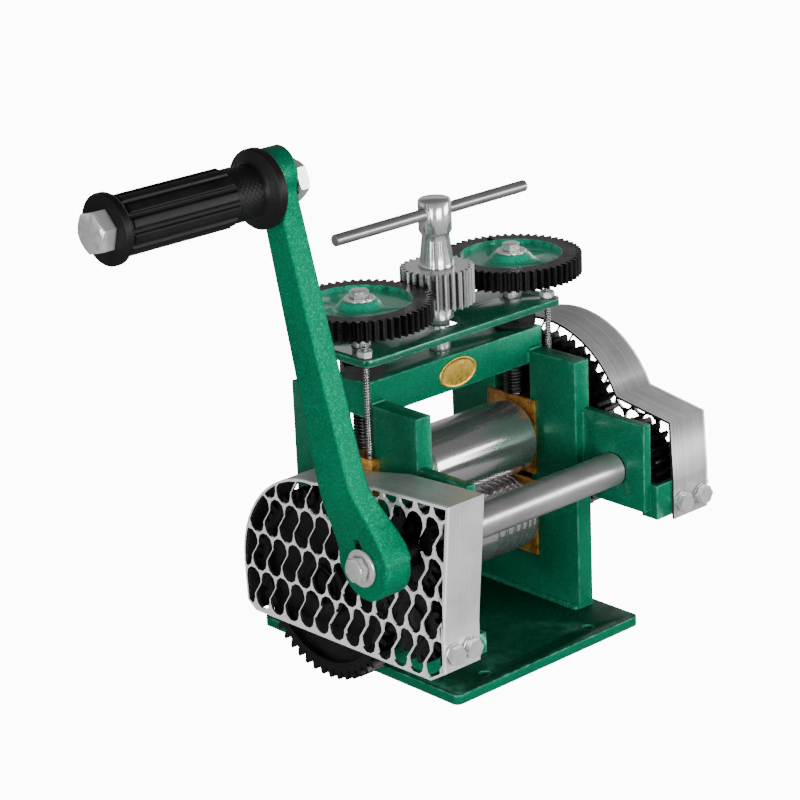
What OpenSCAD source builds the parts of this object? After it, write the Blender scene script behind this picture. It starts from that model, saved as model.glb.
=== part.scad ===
// Hand-cranked jewellers rolling mill with flat and wire rolls.
// Millimetres. X runs along the rolls, away from the crank. Y runs from the
// operator's side to the back. Z is up from the underside of the base plate.

/* [Base and side plates] */
// How far the base plate reaches past each side plate
base_over = 6; // [4:0.5:30]
// How far the base plate reaches past the side plates, front and back
base_front = 32; // [26:0.5:60]
// Thickness of the base plate
base_t = 6; // [4:0.5:10]
// Corner radius of the base plate
base_r = 4; // [1:0.5:8]
// Distance of the base bolt holes from the plate's ends
hole_edge_x = 32.5; // [28:0.5:45]
// Distance of the base bolt holes from the plate's front and back edges
hole_edge_y = 11; // [9:0.5:14]
// Diameter of the base bolt holes
hole_d = 6.6; // [4:0.2:9]
// Clear distance between the side plates
bay_w = 116; // [112:1:140]
// Thickness of a side plate
side_t = 12; // [10:0.5:16]
// Depth of a side plate from front to back
side_d = 106; // [90:1:110]
// Height of the side plates above the table
side_top = 163.5; // [160:0.5:180]
// Width of the slot that holds the bearing blocks
slot_w = 30; // [28:0.5:36]
// Leg of the weld bead along the foot of a side plate
weld = 3.5; // [2:0.5:5]

/* [Top beam] */
// Depth of the beam from front to back
beam_d = 29; // [24:0.5:34]
// Height of the beam
beam_h = 21.2; // [18:0.2:26]
// How far the beam stands above the side plates
beam_rise = 12.7; // [8:0.1:16]
// Length of the oval plate on the beam
badge_w = 30; // [20:1:40]
// Height of the oval plate on the beam
badge_h = 18; // [10:1:20]
// Thickness of the oval plate
badge_t = 0.8; // [0.4:0.1:1.5]

/* [Rolls] */
// Diameter of both rolls
roll_d = 46; // [42:0.5:48]
// Length of the hardened face of a roll
roll_l = 110; // [104:1:110]
// Opening between the rolls as photographed
roll_gap = 3; // [1:0.1:6]
// Height of the lower roll's axis
low_z = 58; // [58:0.5:62]
// Diameter of the necks that run in the bearing blocks
neck_d = 25; // [20:0.5:26]
// Diameter of the neck end that carries the gear
seat_d = 22; // [16:0.5:23]
// Thickness of a thrust washer on a neck
thrust_t = 1.2; // [0.6:0.1:1.4]
// Diameter of a thrust washer
thrust_d = 36; // [30:0.5:40]
// Width of the widest square-wire groove
vee_w = 6.2; // [4:0.1:6.3]
// Share of the width that each next square-wire groove keeps
vee_step = 0.88; // [0.8:0.01:0.92]
// Number of square-wire grooves
vee_n = 6; // [3:1:6]
// Place along the roll where the square-wire grooves begin
vee_x = -25; // [-25:0.5:-6]
// Width of the widest half-round groove
round_w = 7.2; // [4:0.2:7.4]
// Share of the width that each next half-round groove keeps
round_step = 0.86; // [0.8:0.01:0.88]
// Number of half-round grooves
round_n = 6; // [3:1:6]
// Place along the roll where the half-round grooves begin
round_x = 20.7; // [12:0.1:22]
// Land between two grooves
land = 0.3; // [0.2:0.1:1]

/* [Bearing blocks] */
// Height of a block above the roll axis
block_up = 26; // [22:0.5:28]
// Height of the lower block above its axis
block_low_up = 24; // [20:0.5:26]
// Depth of a block below the roll axis
block_down = 21; // [18:0.5:22]
// Depth of the lower block below its axis
block_low_down = 25; // [22:0.5:30]
// Thickness of the flange inside a side plate
flange_in_t = 1.4; // [1:0.1:1.6]
// Thickness of the flange outside a side plate
flange_out_t = 5.9; // [5:0.1:6]
// Depth of the flanges from front to back
flange_d = 42; // [40:0.5:46]

/* [Roll gears and crankshaft] */
// Module of the roll gears and pinions
gear_m = 2.2; // [2.1:0.05:2.25]
// Teeth of a roll gear
gear_n = 50; // [46:1:50]
// Teeth of a pinion
pin_n = 20; // [18:1:22]
// Thickness of a roll gear
gear_t = 12; // [8:0.5:12]
// Radius inside the rim of a roll gear
rim_r = 47; // [40:0.5:48]
// Depth of the recess in each face of a roll gear
web_in = 3.5; // [1:0.5:5]
// Inner face of the gear on the crank side, from the middle of the mill
left_gear_x = 88; // [80:0.5:90]
// Inner face of the gear on the far side, from the middle of the mill
right_gear_x = 83; // [79:0.5:99]
// Diameter of the crankshaft
shaft_d = 20; // [16:0.5:22]
// Diameter of the idler's stud
stud_d = 14; // [10:0.5:18]
// Thickness of a crankshaft bracket
brk_t = 6; // [5:0.5:8]
// How far the crank-side bracket reaches past the shaft's axis
left_reach = 16; // [15:0.5:20]
// How far the far bracket reaches past the shaft's axis
right_reach = 24.5; // [20:0.5:25]

/* [Crank] */
// Distance from the crankshaft to the grip
arm_len = 213; // [150:1:240]
// Lean of the crank towards the back
arm_lean = 15.35; // [-180:0.05:180]
// Width of the arm above the hub
arm_w0 = 28; // [22:0.5:34]
// Width of the arm below its end
arm_w1 = 18; // [14:0.5:26]
// Thickness of the arm
arm_t = 14; // [10:0.5:16]
// Radius of the hub
hub_r = 19.5; // [17:0.5:24]
// Length of the hub
hub_l = 19; // [14:0.5:22]
// Outer face of the hub, from the middle of the mill
hub_x = 135; // [130:0.5:145]
// How far the arm stands out past the hub's face
arm_out = 8; // [0:0.5:12]
// Radius of the arm's round end
end_r = 14; // [13:0.5:18]
// Length of the grip between its flanges' outer faces
grip_l = 105; // [80:1:130]
// Diameter of the grip over its ribs
grip_d = 32.5; // [26:0.5:36]
// Number of ribs round the grip
rib_n = 12; // [8:1:20]

/* [Lift and adjusting gears] */
// Module of the adjusting gears
adj_m = 1.5; // [1.4:0.05:1.5]
// Teeth of an adjusting gear
adj_n = 54; // [50:1:54]
// Teeth of the centre pinion
mid_n = 27; // [25:1:29]
// Height of the adjusting gears' lower faces
adj_z = 206; // [205:0.5:210]
// Thickness of the adjusting gears
adj_t = 12; // [8:0.5:13]
// Diameter of the pressure screws
screw_d = 14; // [12:0.5:16]
// Diameter of the upper ends of the screws
screw_top_d = 12; // [10:0.5:12]
// Across flats of the nuts on the beam
nut_af = 24; // [20:0.5:26]
// Height of the nuts on the beam
nut_h = 9.5; // [6:0.5:10]
// Height of the lift plate's underside
lift_z = 189.5; // [189:0.5:193]
// Thickness of the lift plate
lift_t = 4; // [3:0.5:5]
// Length of the lift plate
lift_w = 158; // [154:1:170]
// Depth of the lift plate from front to back
lift_d = 49; // [44:1:60]
// Hole in the lift plate round the centre pinion's shaft
lift_hole_d = 24; // [20:0.5:30]
// Diameter of the lift rods
rod_d = 4.6; // [4:0.1:4.8]
// Distance of the rods from the middle plane, front and back
rod_y = 16.8; // [16.5:0.1:17.5]

/* [Centre pinion and bar] */
// Height of the pinion's lower face
mid_z = 202; // [201.5:0.5:203]
// Height of the pinion's upper face
mid_top = 227; // [223:0.5:230]
// Diameter of the shank in the beam
shank_d = 13; // [10:0.5:14]
// Height of the head's top
head_top = 268.5; // [262:0.5:280]
// Height of the head
head_h = 20.5; // [16:0.5:24]
// Diameter of the head
head_d = 19.5; // [16:0.5:24]
// Diameter of the cross bar
bar_d = 7; // [5:0.5:9]
// Length of the cross bar
bar_l = 150; // [100:1:180]
// How far the bar is pushed towards the crank
bar_shift = 2; // [-10:0.5:10]

/* [Guards] */
// Thickness of the guard sheet
sheet = 1.5; // [1:0.1:1.6]
// Outer face of the crank-side guard, from the middle of the mill
left_guard_x = 104; // [103.8:0.1:108]
// Outer face of the far guard, from the middle of the mill
right_guard_x = 113; // [112.5:0.1:118]
// Width of the crank-side guard's rim
left_rim_w = 27.5; // [20:0.5:27.5]
// Width of the far guard's rim
right_rim_w = 30; // [20:0.5:32]
// Radius of a guard round its gear
guard_r = 65; // [64:0.5:68]
// Spacing of the cells along a row
cell_x = 13.2; // [11:0.1:16]
// Distance between the two round ends of a cell
cell_h = 13; // [8:0.5:18]
// How far each end of a cell leans from its middle
cell_lean = 3; // [0:0.1:3.3]
// Width of the web between two cells
cell_web = 2; // [1.6:0.1:4]

/* [Fits] */
// Radial clearance of a shaft in its bore
run = 0.05; // [0.03:0.01:0.09]
// Clearance between faces that slide past each other
slide = 0.1; // [0.05:0.01:0.2]
// Backlash between two meshing teeth
backlash = 0.2; // [0.1:0.02:0.4]

/* [Hidden] */
$fn = 64;

side_in = bay_w / 2;
side_out = side_in + side_t;
base_w = 2 * (side_out + base_over);
base_d = side_d + 2 * base_front;
side_mid = side_in + side_t / 2;
beam_top = side_top + beam_rise;
beam_z = beam_top - beam_h;
up_z = low_z + roll_d + roll_gap;

// The crankshaft lies level with neither roll: its pinion on the crank side
// turns an idler straight below it, which turns the lower roll's gear.
pin_r = gear_m * pin_n / 2;
drive_y = -gear_m * (gear_n + pin_n) / 2;
crank_z = low_z + 2 * pin_r;
idler_z = low_z;
pin_tip = pin_r + gear_m;
gear_tip = gear_m * gear_n / 2 + gear_m;
up_dir = atan2(up_z - crank_z, -drive_y);

left_brk_y = drive_y - left_reach;
right_brk_y = drive_y - right_reach;
brk_lo = crank_z - 22;
brk_hi = crank_z + 32;
boss_r = 15;
boss_x = side_out + slide;
teeth_x = side_out + 5.5;

flange_in = side_in - slide;
flange_out = side_out + slide;
thrust_x = flange_in - flange_in_t - slide - thrust_t;
roll_end = min(roll_l / 2, thrust_x - slide);

adj_x = adj_m * (adj_n + mid_n) / 2;
mid_tip = adj_m * mid_n / 2 + adj_m;
rod_x = flange_out + flange_out_t / 2;
rod_nut_h = 4;
rod_top = lift_z + lift_t + rod_nut_h + 3.5;
rod_low = up_z + 5;
block_top = up_z + block_up;
shoulder_z = lift_z - slide;
hub_top = adj_z + adj_t + 0.5;
washer_t = 1.6;

end_over = 6.3;
grip_bolt_d = 14;
grip_af = 21;
arm_face = hub_x + arm_out - 2;
washer_x = arm_face;
grip_x = arm_face + 2.5;
flange_w = 8;
// The crank's bolt screws into the shaft's end and holds a small washer.
crank_bolt_d = 8;
crank_bolt_af = 13;
crank_head = 5.4;
crank_washer_t = 2;
crank_washer_r = shaft_d / 2 + 0.8;

left_tab = [idler_z - 20, idler_z - 8];
right_tab = [crank_z - 27, crank_z - 6];
left_front = drive_y - pin_tip - 4.3;
right_front = drive_y - pin_tip - 6.3;

// Guard bolts: place along the rolls, the guard's front face and height.
guard_bolt_d = 6;
tab_t = [2.4, 3.5];
bolt_at = [[6.8 - left_guard_x, left_front, left_tab[0] + 8.5],
    [19.8 - left_guard_x, left_front, left_tab[0] + 8.5],
    [right_guard_x - 6.8, right_front, right_tab[0] + 7],
    [right_guard_x - 23.7, right_front, right_tab[0] + 7]];
// A smaller bolt goes through the far guard's closed side into its tab.
side_bolt_d = 5;
side_bolt = [right_front + 6.5, right_tab[0] + 11];
lug_x = right_guard_x - sheet - tab_t[1];
// Bolts on top of the adjusting gears.
gear_bolt_d = 6;
gear_bolt_l = 14;
bolt_af = 10;
bolt_head = 4.2;

// Shapes and figures used in several places.

// Turns a shape drawn flat so that its plane is front to back and it rises
// along the rolls.
module along_x(x) { translate([x, 0, 0]) rotate([90, 0, 90]) children(); }

// A rod along the rolls from x0 to x1 about the axis at y, z.
module rod_x(x0, x1, r, y = 0, z = 0) {
    along_x(min(x0, x1)) translate([y, z, 0])
        cylinder(h = abs(x1 - x0), r = r);
}

// A box given by its two corners.
module box(a, b) {
    translate([min(a[0], b[0]), min(a[1], b[1]), min(a[2], b[2])])
        cube([abs(b[0] - a[0]), abs(b[1] - a[1]), abs(b[2] - a[2])]);
}

// A hexagonal prism from its distance across flats.
module hexagon(af, h) { cylinder(h = h, r = af / sqrt(3), $fn = 6); }

// The involute function, in degrees.
function inv(a) = tan(a) * 180 / PI - a;

// Half the angle that a tooth takes up at radius r.
function half_tooth(m, n, r) =
    let (base = m * n / 2 * cos(20), a = acos(min(1, base / max(r, base))))
    90 / n - backlash / 2 / (m * n) * 180 / PI + inv(20) - inv(a);

// Outline of a spur gear with one tooth centred on the angle ph.
function gear_outline(m, n, ph) =
    let (r = m * n / 2,
         steps = [r - 1.25 * m, max(r - 1.25 * m, r * cos(20)) + 0.35 * m,
                  r + 0.25 * m, r + m])
    [for (k = [0 : n - 1]) for (i = [0 : 7])
        let (rr = steps[i < 4 ? i : 7 - i],
             a = ph + k * 360 / n + (i < 4 ? -1 : 1) * half_tooth(m, n, rr))
        rr * [cos(a), sin(a)]];

// Tooth angle of a gear that meshes with one whose tooth angle is ph, when
// the line from the first gear to the second points along dir.
function mesh_phase(ph, n1, n2, dir) =
    dir + 180 + ((dir - ph) * n1 / 360 - 0.5) * 360 / n2;

// Moves every edge of a closed outline inwards by w.
function inset(p, w) = [for (i = [0 : len(p) - 1])
    let (a = p[(i + len(p) - 1) % len(p)], b = p[i], c = p[(i + 1) % len(p)],
         u = (b - a) / norm(b - a), v = (c - b) / norm(c - b),
         n1 = [-u[1], u[0]], n2 = [-v[1], v[0]])
    b + w * (n1 + n2) / (1 + n1 * n2)];

// Points of an arc, counter-clockwise from a0 to a1.
function arc(c, r, a0, a1, n) =
    [for (i = [0 : n]) let (a = a0 + (a1 - a0) * i / n)
        c + r * [cos(a), sin(a)]];

// Start of groove i in a row whose widths shrink by the ratio q.
function groove_at(w, q, i) =
    i == 0 ? 0 : groove_at(w, q, i - 1) + w * pow(q, i - 1) + land;

// Base, side plates and beam.

module base_plate() {
    color("seagreen") difference() {
        linear_extrude(base_t) union() {
            square([base_w - 2 * base_r, base_d], center = true);
            square([base_w, base_d - 2 * base_r], center = true);
            for (x = [-1, 1], y = [-1, 1])
                translate([x * (base_w / 2 - base_r),
                           y * (base_d / 2 - base_r)]) circle(base_r);
        }
        for (x = [-1, 1], y = [-1, 1])
            translate([x * (base_w / 2 - hole_edge_x),
                       y * (base_d / 2 - hole_edge_y), -1])
                cylinder(h = base_t + 2, d = hole_d);
    }
}

// A plate with a slot open at the top for the bearing blocks and the beam.
module side_plate() {
    color("seagreen") along_x(side_in) linear_extrude(side_t) difference() {
        translate([-side_d / 2, base_t])
            square([side_d, side_top - base_t]);
        translate([-slot_w / 2, low_z - block_low_down])
            square([slot_w, side_top]);
    }
}

module left_side_plate() { mirror([1, 0, 0]) side_plate(); }
module right_side_plate() { side_plate(); }

// Weld beads along the inner and outer feet of the side plates.
module foot_welds() {
    color("seagreen") for (s = [-1, 1], f = [-1, 1])
        translate([s * (f < 0 ? side_in : side_out), side_d / 2, base_t])
            rotate([90, 0, 0]) linear_extrude(side_d)
                polygon(s * f > 0
                    ? [[0, 0], [weld, 0], [0, weld]]
                    : [[0, 0], [0, weld], [-weld, 0]]);
}

module top_beam() {
    color("seagreen") difference() {
        box([-side_out, -beam_d / 2, beam_z], [side_out, beam_d / 2, beam_top]);
        for (x = [-1, 1]) translate([x * adj_x, 0, beam_z - 1])
            cylinder(h = beam_h + 2, r = screw_d / 2 + run);
        translate([0, 0, beam_z - 1])
            cylinder(h = beam_h + 2, r = shank_d / 2 + run);
    }
}

// Plain oval plate on the front of the beam.
module badge() {
    color("gold") translate([0, -beam_d / 2, beam_z + beam_h / 2 - 0.6])
        rotate([90, 0, 0]) linear_extrude(badge_t)
            polygon([for (i = [0 : 39])
                [badge_w / 2 * cos(9 * i), badge_h / 2 * sin(9 * i)]]);
}

module screw_nuts() {
    color("dimgray") for (x = [-1, 1]) translate([x * adj_x, 0, beam_top])
        difference() {
            rotate(30) hexagon(nut_af, nut_h);
            translate([0, 0, -1]) cylinder(h = nut_h + 2, r = screw_d / 2 + run);
        }
}

// Crankshaft brackets and idler stud.

// Plate on the front edge of a side plate, flush with its outer face.
module bracket(front, lo, stud) {
    color("seagreen") along_x(side_out - brk_t) difference() {
        translate([front, lo]) cube([-side_d / 2 - front, brk_hi - lo, brk_t]);
        translate([drive_y, crank_z, -1])
            cylinder(h = brk_t + 2, r = shaft_d / 2 + run);
        if (stud) translate([drive_y, idler_z, -1])
            cylinder(h = brk_t + 2, d = stud_d);
    }
}

module left_bracket() {
    mirror([1, 0, 0]) bracket(left_brk_y, left_tab[0] - 4, true);
}
module right_bracket() { bracket(right_brk_y, brk_lo, false); }

module idler_stud() {
    color("silver") {
        rod_x(-side_out + brk_t, -idler_end - slide, stud_d / 2, drive_y, idler_z);
        rod_x(-idler_end - slide, -idler_end - slide - 1.6, stud_d / 2 + 4,
            drive_y, idler_z);
    }
}
idler_end = left_gear_x + gear_t;

// Bearing blocks.

// A block with a flange inside and outside the side plate.
module block(z, up, down, rods) {
    color("darkgoldenrod") difference() {
        union() {
            box([flange_in - 0.01, -slot_w / 2 + slide, z - down],
                [flange_out + 0.01, slot_w / 2 - slide, z + up]);
            box([flange_in - flange_in_t, -flange_d / 2 + 1, z - down],
                [flange_in, flange_d / 2 - 1, z + up]);
            box([flange_out, -flange_d / 2, z - down],
                [flange_out + flange_out_t, flange_d / 2, z + up]);
        }
        rod_x(side_in - 10, side_out + 10, neck_d / 2 + run, 0, z);
        if (rods) for (y = [-1, 1]) translate([rod_x, y * rod_y, rod_low])
            cylinder(h = up_z + block_up, d = rod_d);
    }
}

module lower_block() { block(low_z, block_low_up, block_low_down, false); }
module upper_block() { block(up_z, block_up, block_down, true); }
module left_lower_block() { mirror([1, 0, 0]) lower_block(); }
module right_lower_block() { lower_block(); }
module left_upper_block() { mirror([1, 0, 0]) upper_block(); }
module right_upper_block() { upper_block(); }

// Thrust washers between the roll's shoulders and the blocks.
module washers(z) {
    color("peru") for (s = [0, 1]) mirror([s, 0, 0]) difference() {
        rod_x(thrust_x, thrust_x + thrust_t, thrust_d / 2, 0, z);
        rod_x(thrust_x - 1, thrust_x + thrust_t + 1, neck_d / 2 + run, 0, z);
    }
}
module lower_washers() { washers(low_z); }
module upper_washers() { washers(up_z); }

// Rolls.

// Outline of half the roll: radius against distance along the axis. The
// square-wire grooves are on the crank side, the half-round ones opposite.
function vee_pts(r) = [for (i = [vee_n - 1 : -1 : 0])
    let (w = vee_w * pow(vee_step, i),
         x = vee_x - groove_at(vee_w, vee_step, i))
    each [[r, x - w], [r - w / 2, x - w / 2], [r, x]]];
function round_pts(r) = [for (i = [0 : round_n - 1])
    let (w = round_w * pow(round_step, i),
         x = round_x + groove_at(round_w, round_step, i) + w / 2)
    each [for (k = [0 : 6]) let (a = 180 - 30 * k)
        [r - 0.6 * w / 2 * sin(a), x + w / 2 * cos(a)]]];

// A roll with its necks, from the end at x0 to the end at x1. The gear's
// seat starts at xs, on the side that the sign of xs gives.
module roll(z, x0, x1, xs, rounds) {
    r = roll_d / 2;
    n = neck_d / 2;
    s = seat_d / 2;
    color("silver") translate([0, 0, z]) rotate([0, 90, 0]) rotate_extrude()
        polygon(concat(
            [[0, x0], [xs < 0 ? s : n, x0]],
            xs < 0 ? [[s, xs], [n, xs]] : [],
            [[n, -roll_end], [r, -roll_end]],
            vee_pts(r), rounds ? round_pts(r) : [],
            [[r, roll_end], [n, roll_end]],
            xs > 0 ? [[n, xs], [s, xs]] : [],
            [[xs > 0 ? s : n, x1], [0, x1]]));
}

neck_end = flange_out + flange_out_t;
module lower_roll() {
    difference() {
        roll(low_z, -idler_end - 1.8, neck_end, -left_gear_x, true);
        gear_key_box(-left_gear_x, low_z);
    }
}
module upper_roll() {
    difference() {
        roll(up_z, -neck_end, right_gear_x + gear_t + 1.6, right_gear_x, false);
        gear_key_box(right_gear_x + gear_t, up_z);
    }
}

// Gears.

// Key between a gear and the roll's neck, over the gear's thickness.
module gear_key_box(x, z) {
    box([x, -3, z + seat_d / 2 - 2.5], [x - gear_t, 3, z + seat_d / 2 + 2.3]);
}

// A gear with a rim, a thin web and a hub, its lower face at x = 0.
module spur_gear(ph) {
    difference() {
        linear_extrude(gear_t) polygon(gear_outline(gear_m, gear_n, ph));
        for (z = [-1, gear_t - web_in]) translate([0, 0, z]) difference() {
            cylinder(h = web_in + 1, r = rim_r);
            translate([0, 0, -1]) cylinder(h = web_in + 3, r = seat_d / 2 + 8);
        }
        translate([0, 0, -1]) cylinder(h = gear_t + 2, d = seat_d);
    }
}

left_pin_ph = -90;
idler_ph = mesh_phase(left_pin_ph, pin_n, pin_n, -90);
lower_ph = mesh_phase(idler_ph, pin_n, gear_n, 0);
right_pin_ph = up_dir;
upper_ph = mesh_phase(right_pin_ph, pin_n, gear_n, up_dir);

module lower_roll_gear() {
    color("#2b2b2b") difference() {
        along_x(-idler_end) translate([0, low_z, 0]) spur_gear(lower_ph);
        gear_key_box(-left_gear_x, low_z);
    }
}
module upper_roll_gear() {
    color("#2b2b2b") difference() {
        along_x(right_gear_x) translate([0, up_z, 0]) spur_gear(upper_ph);
        gear_key_box(right_gear_x + gear_t, up_z);
    }
}
module lower_gear_key() { color("silver") gear_key_box(-left_gear_x, low_z); }
module upper_gear_key() {
    color("silver") gear_key_box(right_gear_x + gear_t, up_z);
}

// Retaining ring outside a roll gear.
module ring(x, z) {
    color("dimgray") difference() {
        rod_x(x, x + 1.1, seat_d / 2 + 2.5, 0, z);
        rod_x(x - 1, x + 3, seat_d / 2, 0, z);
    }
}
module lower_gear_ring() { mirror([1, 0, 0]) ring(idler_end, low_z); }
module upper_gear_ring() { ring(right_gear_x + gear_t, up_z); }

// A pinion with a boss that runs against the bracket, from x0 to x1.
module pinion(x0, x1, ph, z, bore) {
    difference() {
        union() {
            along_x(x0) translate([drive_y, z, 0]) linear_extrude(x1 - x0)
                polygon(gear_outline(gear_m, pin_n, ph));
            if (x0 < 0) rod_x(x1, -boss_x, boss_r, drive_y, z);
            else rod_x(boss_x, x0, boss_r, drive_y, z);
        }
        rod_x(x0 - 20, x1 + 20, bore, drive_y, z);
    }
}

module pinion_key_box(x) {
    box([x, drive_y - 2.5, crank_z + shaft_d / 2 - 2.5],
        [x + 18, drive_y + 2.5, crank_z + shaft_d / 2 + 2.3]);
}
left_key_x = -idler_end;
right_key_x = right_gear_x + gear_t - 18;

module left_pinion() {
    color("#2b2b2b") difference() {
        pinion(-idler_end, -teeth_x, left_pin_ph, crank_z, shaft_d / 2);
        pinion_key_box(left_key_x);
    }
}
module right_pinion() {
    color("#2b2b2b") difference() {
        pinion(teeth_x, right_gear_x + gear_t, right_pin_ph, crank_z,
            shaft_d / 2);
        pinion_key_box(right_key_x);
    }
}
module pinion_keys() {
    color("silver") { pinion_key_box(left_key_x); pinion_key_box(right_key_x); }
}
module idler_gear() {
    color("#2b2b2b")
        pinion(-idler_end, -teeth_x, idler_ph, idler_z, stud_d / 2 + run);
}

// Crankshaft and crank.

shaft_end = hub_x - 1;
module crankshaft() {
    color("silver") difference() {
        rod_x(-shaft_end, right_gear_x + gear_t, shaft_d / 2, drive_y, crank_z);
        rod_x(-shaft_end - 1, -shaft_end + 22, crank_bolt_d / 2, drive_y,
            crank_z);
        pinion_key_box(left_key_x);
        pinion_key_box(right_key_x);
        at_arm() crank_key_box();
    }
}

// Places what belongs to the crank arm: the hub's axis at the origin, the
// arm pointing up, then leant back.
module at_arm() {
    translate([0, drive_y, crank_z]) rotate([-arm_lean, 0, 0]) children();
}
module crank_key_box() {
    box([-hub_x + 1, -3, shaft_d / 2 - 2.5],
        [-hub_x + hub_l, 3, shaft_d / 2 + 2.8]);
}
module crank_key() { color("silver") at_arm() crank_key_box(); }

// The arm is the front outline, cut to the side outline that bends it
// outwards past the hub.
module crank_arm() {
    top = arm_len + end_over;
    color("seagreen") at_arm() difference() {
        union() {
            intersection() {
                along_x(-hub_x - arm_out - 5) linear_extrude(hub_l + 30)
                    union() {
                        polygon([[hub_r, 0], [arm_w0 / 2, 2.4 * hub_r],
                                 [arm_w1 / 2, top - end_r],
                                 [-arm_w1 / 2, top - end_r],
                                 [-arm_w0 / 2, 2.4 * hub_r], [-hub_r, 0]]);
                        translate([0, top]) circle(end_r);
                    }
                translate([0, hub_r * 2, 0]) rotate([90, 0, 0])
                    linear_extrude(hub_r * 4) polygon(arm_side(top + end_r));
            }
            rod_x(-hub_x, -hub_x + hub_l, hub_r);
        }
        rod_x(-hub_x - 20, -hub_x + hub_l + 20, shaft_d / 2);
        box([-hub_x - 20, -3, 0], [-hub_x + hub_l + 20, 3, shaft_d / 2 + 6]);
        rod_x(-hub_x - 40, -hub_x + 40, grip_bolt_d / 2, 0, arm_len);
    }
}
// Side outline of the arm: both faces swing outwards above the hub.
function arm_side(top) =
    let (o = -hub_x - arm_out, e = -arm_face, b = 2.4 * hub_r)
    [[-hub_x, 0], [-hub_x + hub_l, 0], [-hub_x + hub_l, 0.55 * hub_r],
     [-hub_x + hub_l - 3, 0.95 * hub_r], [o + arm_t + 2, 0.8 * b],
     [o + arm_t, b], [e + arm_t, top - 2.4 * end_r], [e + arm_t, top],
     [e, top], [e, top - 2.4 * end_r], [o, b],
     [o + 1.5, 0.8 * b], [-hub_x - 1.5, 0.9 * hub_r],
     [-hub_x, 0.6 * hub_r]];

module crank_washer() {
    color("silver") difference() {
        rod_x(-hub_x - crank_washer_t, -hub_x, crank_washer_r, drive_y, crank_z);
        rod_x(-hub_x - crank_washer_t - 1, -hub_x + 1, crank_bolt_d / 2, drive_y,
            crank_z);
    }
}
module crank_bolt() {
    color("silver") {
        along_x(-hub_x - crank_washer_t - crank_head)
            translate([drive_y, crank_z, 0])
            rotate(arm_lean) hexagon(crank_bolt_af, crank_head);
        rod_x(-hub_x - crank_washer_t, -shaft_end + 21, crank_bolt_d / 2,
            drive_y, crank_z);
    }
}

grip_end = grip_x + grip_l;
module grip_washer() {
    color("silver") at_arm() difference() {
        rod_x(-washer_x, -grip_x + slide, 13, 0, arm_len);
        rod_x(-washer_x + 1, -grip_x - 1, grip_bolt_d / 2, 0, arm_len);
    }
}
module grip_bolt() {
    color("silver") at_arm() {
        along_x(-grip_end - slide - 8.8) translate([0, arm_len, 0])
            hexagon(grip_af, 8.8);
        rod_x(-grip_end - slide, -arm_face + arm_t + 10, grip_bolt_d / 2, 0,
            arm_len);
    }
}
module grip_nut() {
    color("silver") at_arm() along_x(-arm_face + arm_t)
        translate([0, arm_len, 0]) difference() {
            rotate(30) hexagon(grip_af, 8);
            translate([0, 0, -1]) cylinder(h = 10, d = grip_bolt_d);
        }
}

// Rubber grip: a flange at each end, a ribbed body and a plain waist.
module grip() {
    r = grip_d / 2;
    waist = r - 1.5;
    in_r = r + 5.8;
    out_r = r + 3;
    l = grip_l;
    color("#1c1c1c") at_arm() along_x(-grip_end) translate([0, arm_len, 0])
        difference() {
            union() {
                rotate_extrude() polygon([
                    [0, 0], [out_r - 2.5, 0], [out_r - 0.8, 0.8], [out_r, 2.5],
                    [out_r - 0.8, 4.2], [waist, 6], [waist, l - flange_w],
                    [in_r - 4, l - flange_w + 1], [in_r - 1.2, l - 5.5],
                    [in_r, l - 3.5], [in_r, l - 1.5], [in_r - 1, l], [0, l]]);
                translate([0, 0, 6.5]) linear_extrude(l - 34)
                    polygon([for (k = [0 : rib_n - 1], j = [0 : 3])
                        let (q = j == 0 || j == 3 ? waist - 0.2 : r,
                             a = (k + [0.06, 0.14, 0.86, 0.94][j]) * 360 / rib_n)
                        q * [cos(a), sin(a)]]);
            }
            translate([0, 0, -1]) cylinder(h = l + 2, r = grip_bolt_d / 2 + run);
        }
}

// Lift plate, rods and adjusting screws.

module lift_plate() {
    r = 6;
    color("seagreen") difference() {
        translate([0, 0, lift_z]) linear_extrude(lift_t) union() {
            square([lift_w - 2 * r, lift_d], center = true);
            square([lift_w, lift_d - 2 * r], center = true);
            for (x = [-1, 1], y = [-1, 1])
                translate([x * (lift_w / 2 - r), y * (lift_d / 2 - r)])
                    circle(r);
        }
        translate([0, 0, lift_z - 1])
            cylinder(h = lift_t + 2, d = lift_hole_d);
        for (x = [-1, 1]) {
            translate([x * adj_x, 0, lift_z - 1])
                cylinder(h = lift_t + 2, r = screw_top_d / 2 + run);
            for (y = [-1, 1]) translate([x * rod_x, y * rod_y, lift_z - 1])
                cylinder(h = lift_t + 2, d = rod_d);
        }
    }
}

module lift_rods() {
    color("silver") for (x = [-1, 1], y = [-1, 1])
        translate([x * rod_x, y * rod_y, rod_low])
            cylinder(h = rod_top - rod_low, d = rod_d);
}

module rod_nuts() {
    color("silver") for (x = [-1, 1], y = [-1, 1])
        translate([x * rod_x, y * rod_y, lift_z + lift_t]) difference() {
            hexagon(8, rod_nut_h);
            translate([0, 0, -1]) cylinder(h = rod_nut_h + 2, d = rod_d);
        }
}

// Pressure screw: the wide part is threaded in the real mill.
module screw(x) {
    color("dimgray") translate([x, 0, 0]) difference() {
        union() {
            translate([0, 0, block_top + slide])
                cylinder(h = shoulder_z - block_top - slide, d = screw_d);
            translate([0, 0, shoulder_z])
                cylinder(h = hub_top - shoulder_z, d = screw_top_d);
        }
        translate([0, 0, hub_top + washer_t - gear_bolt_l])
            cylinder(h = gear_bolt_l, d = gear_bolt_d);
    }
}

mid_ph = 0;
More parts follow.
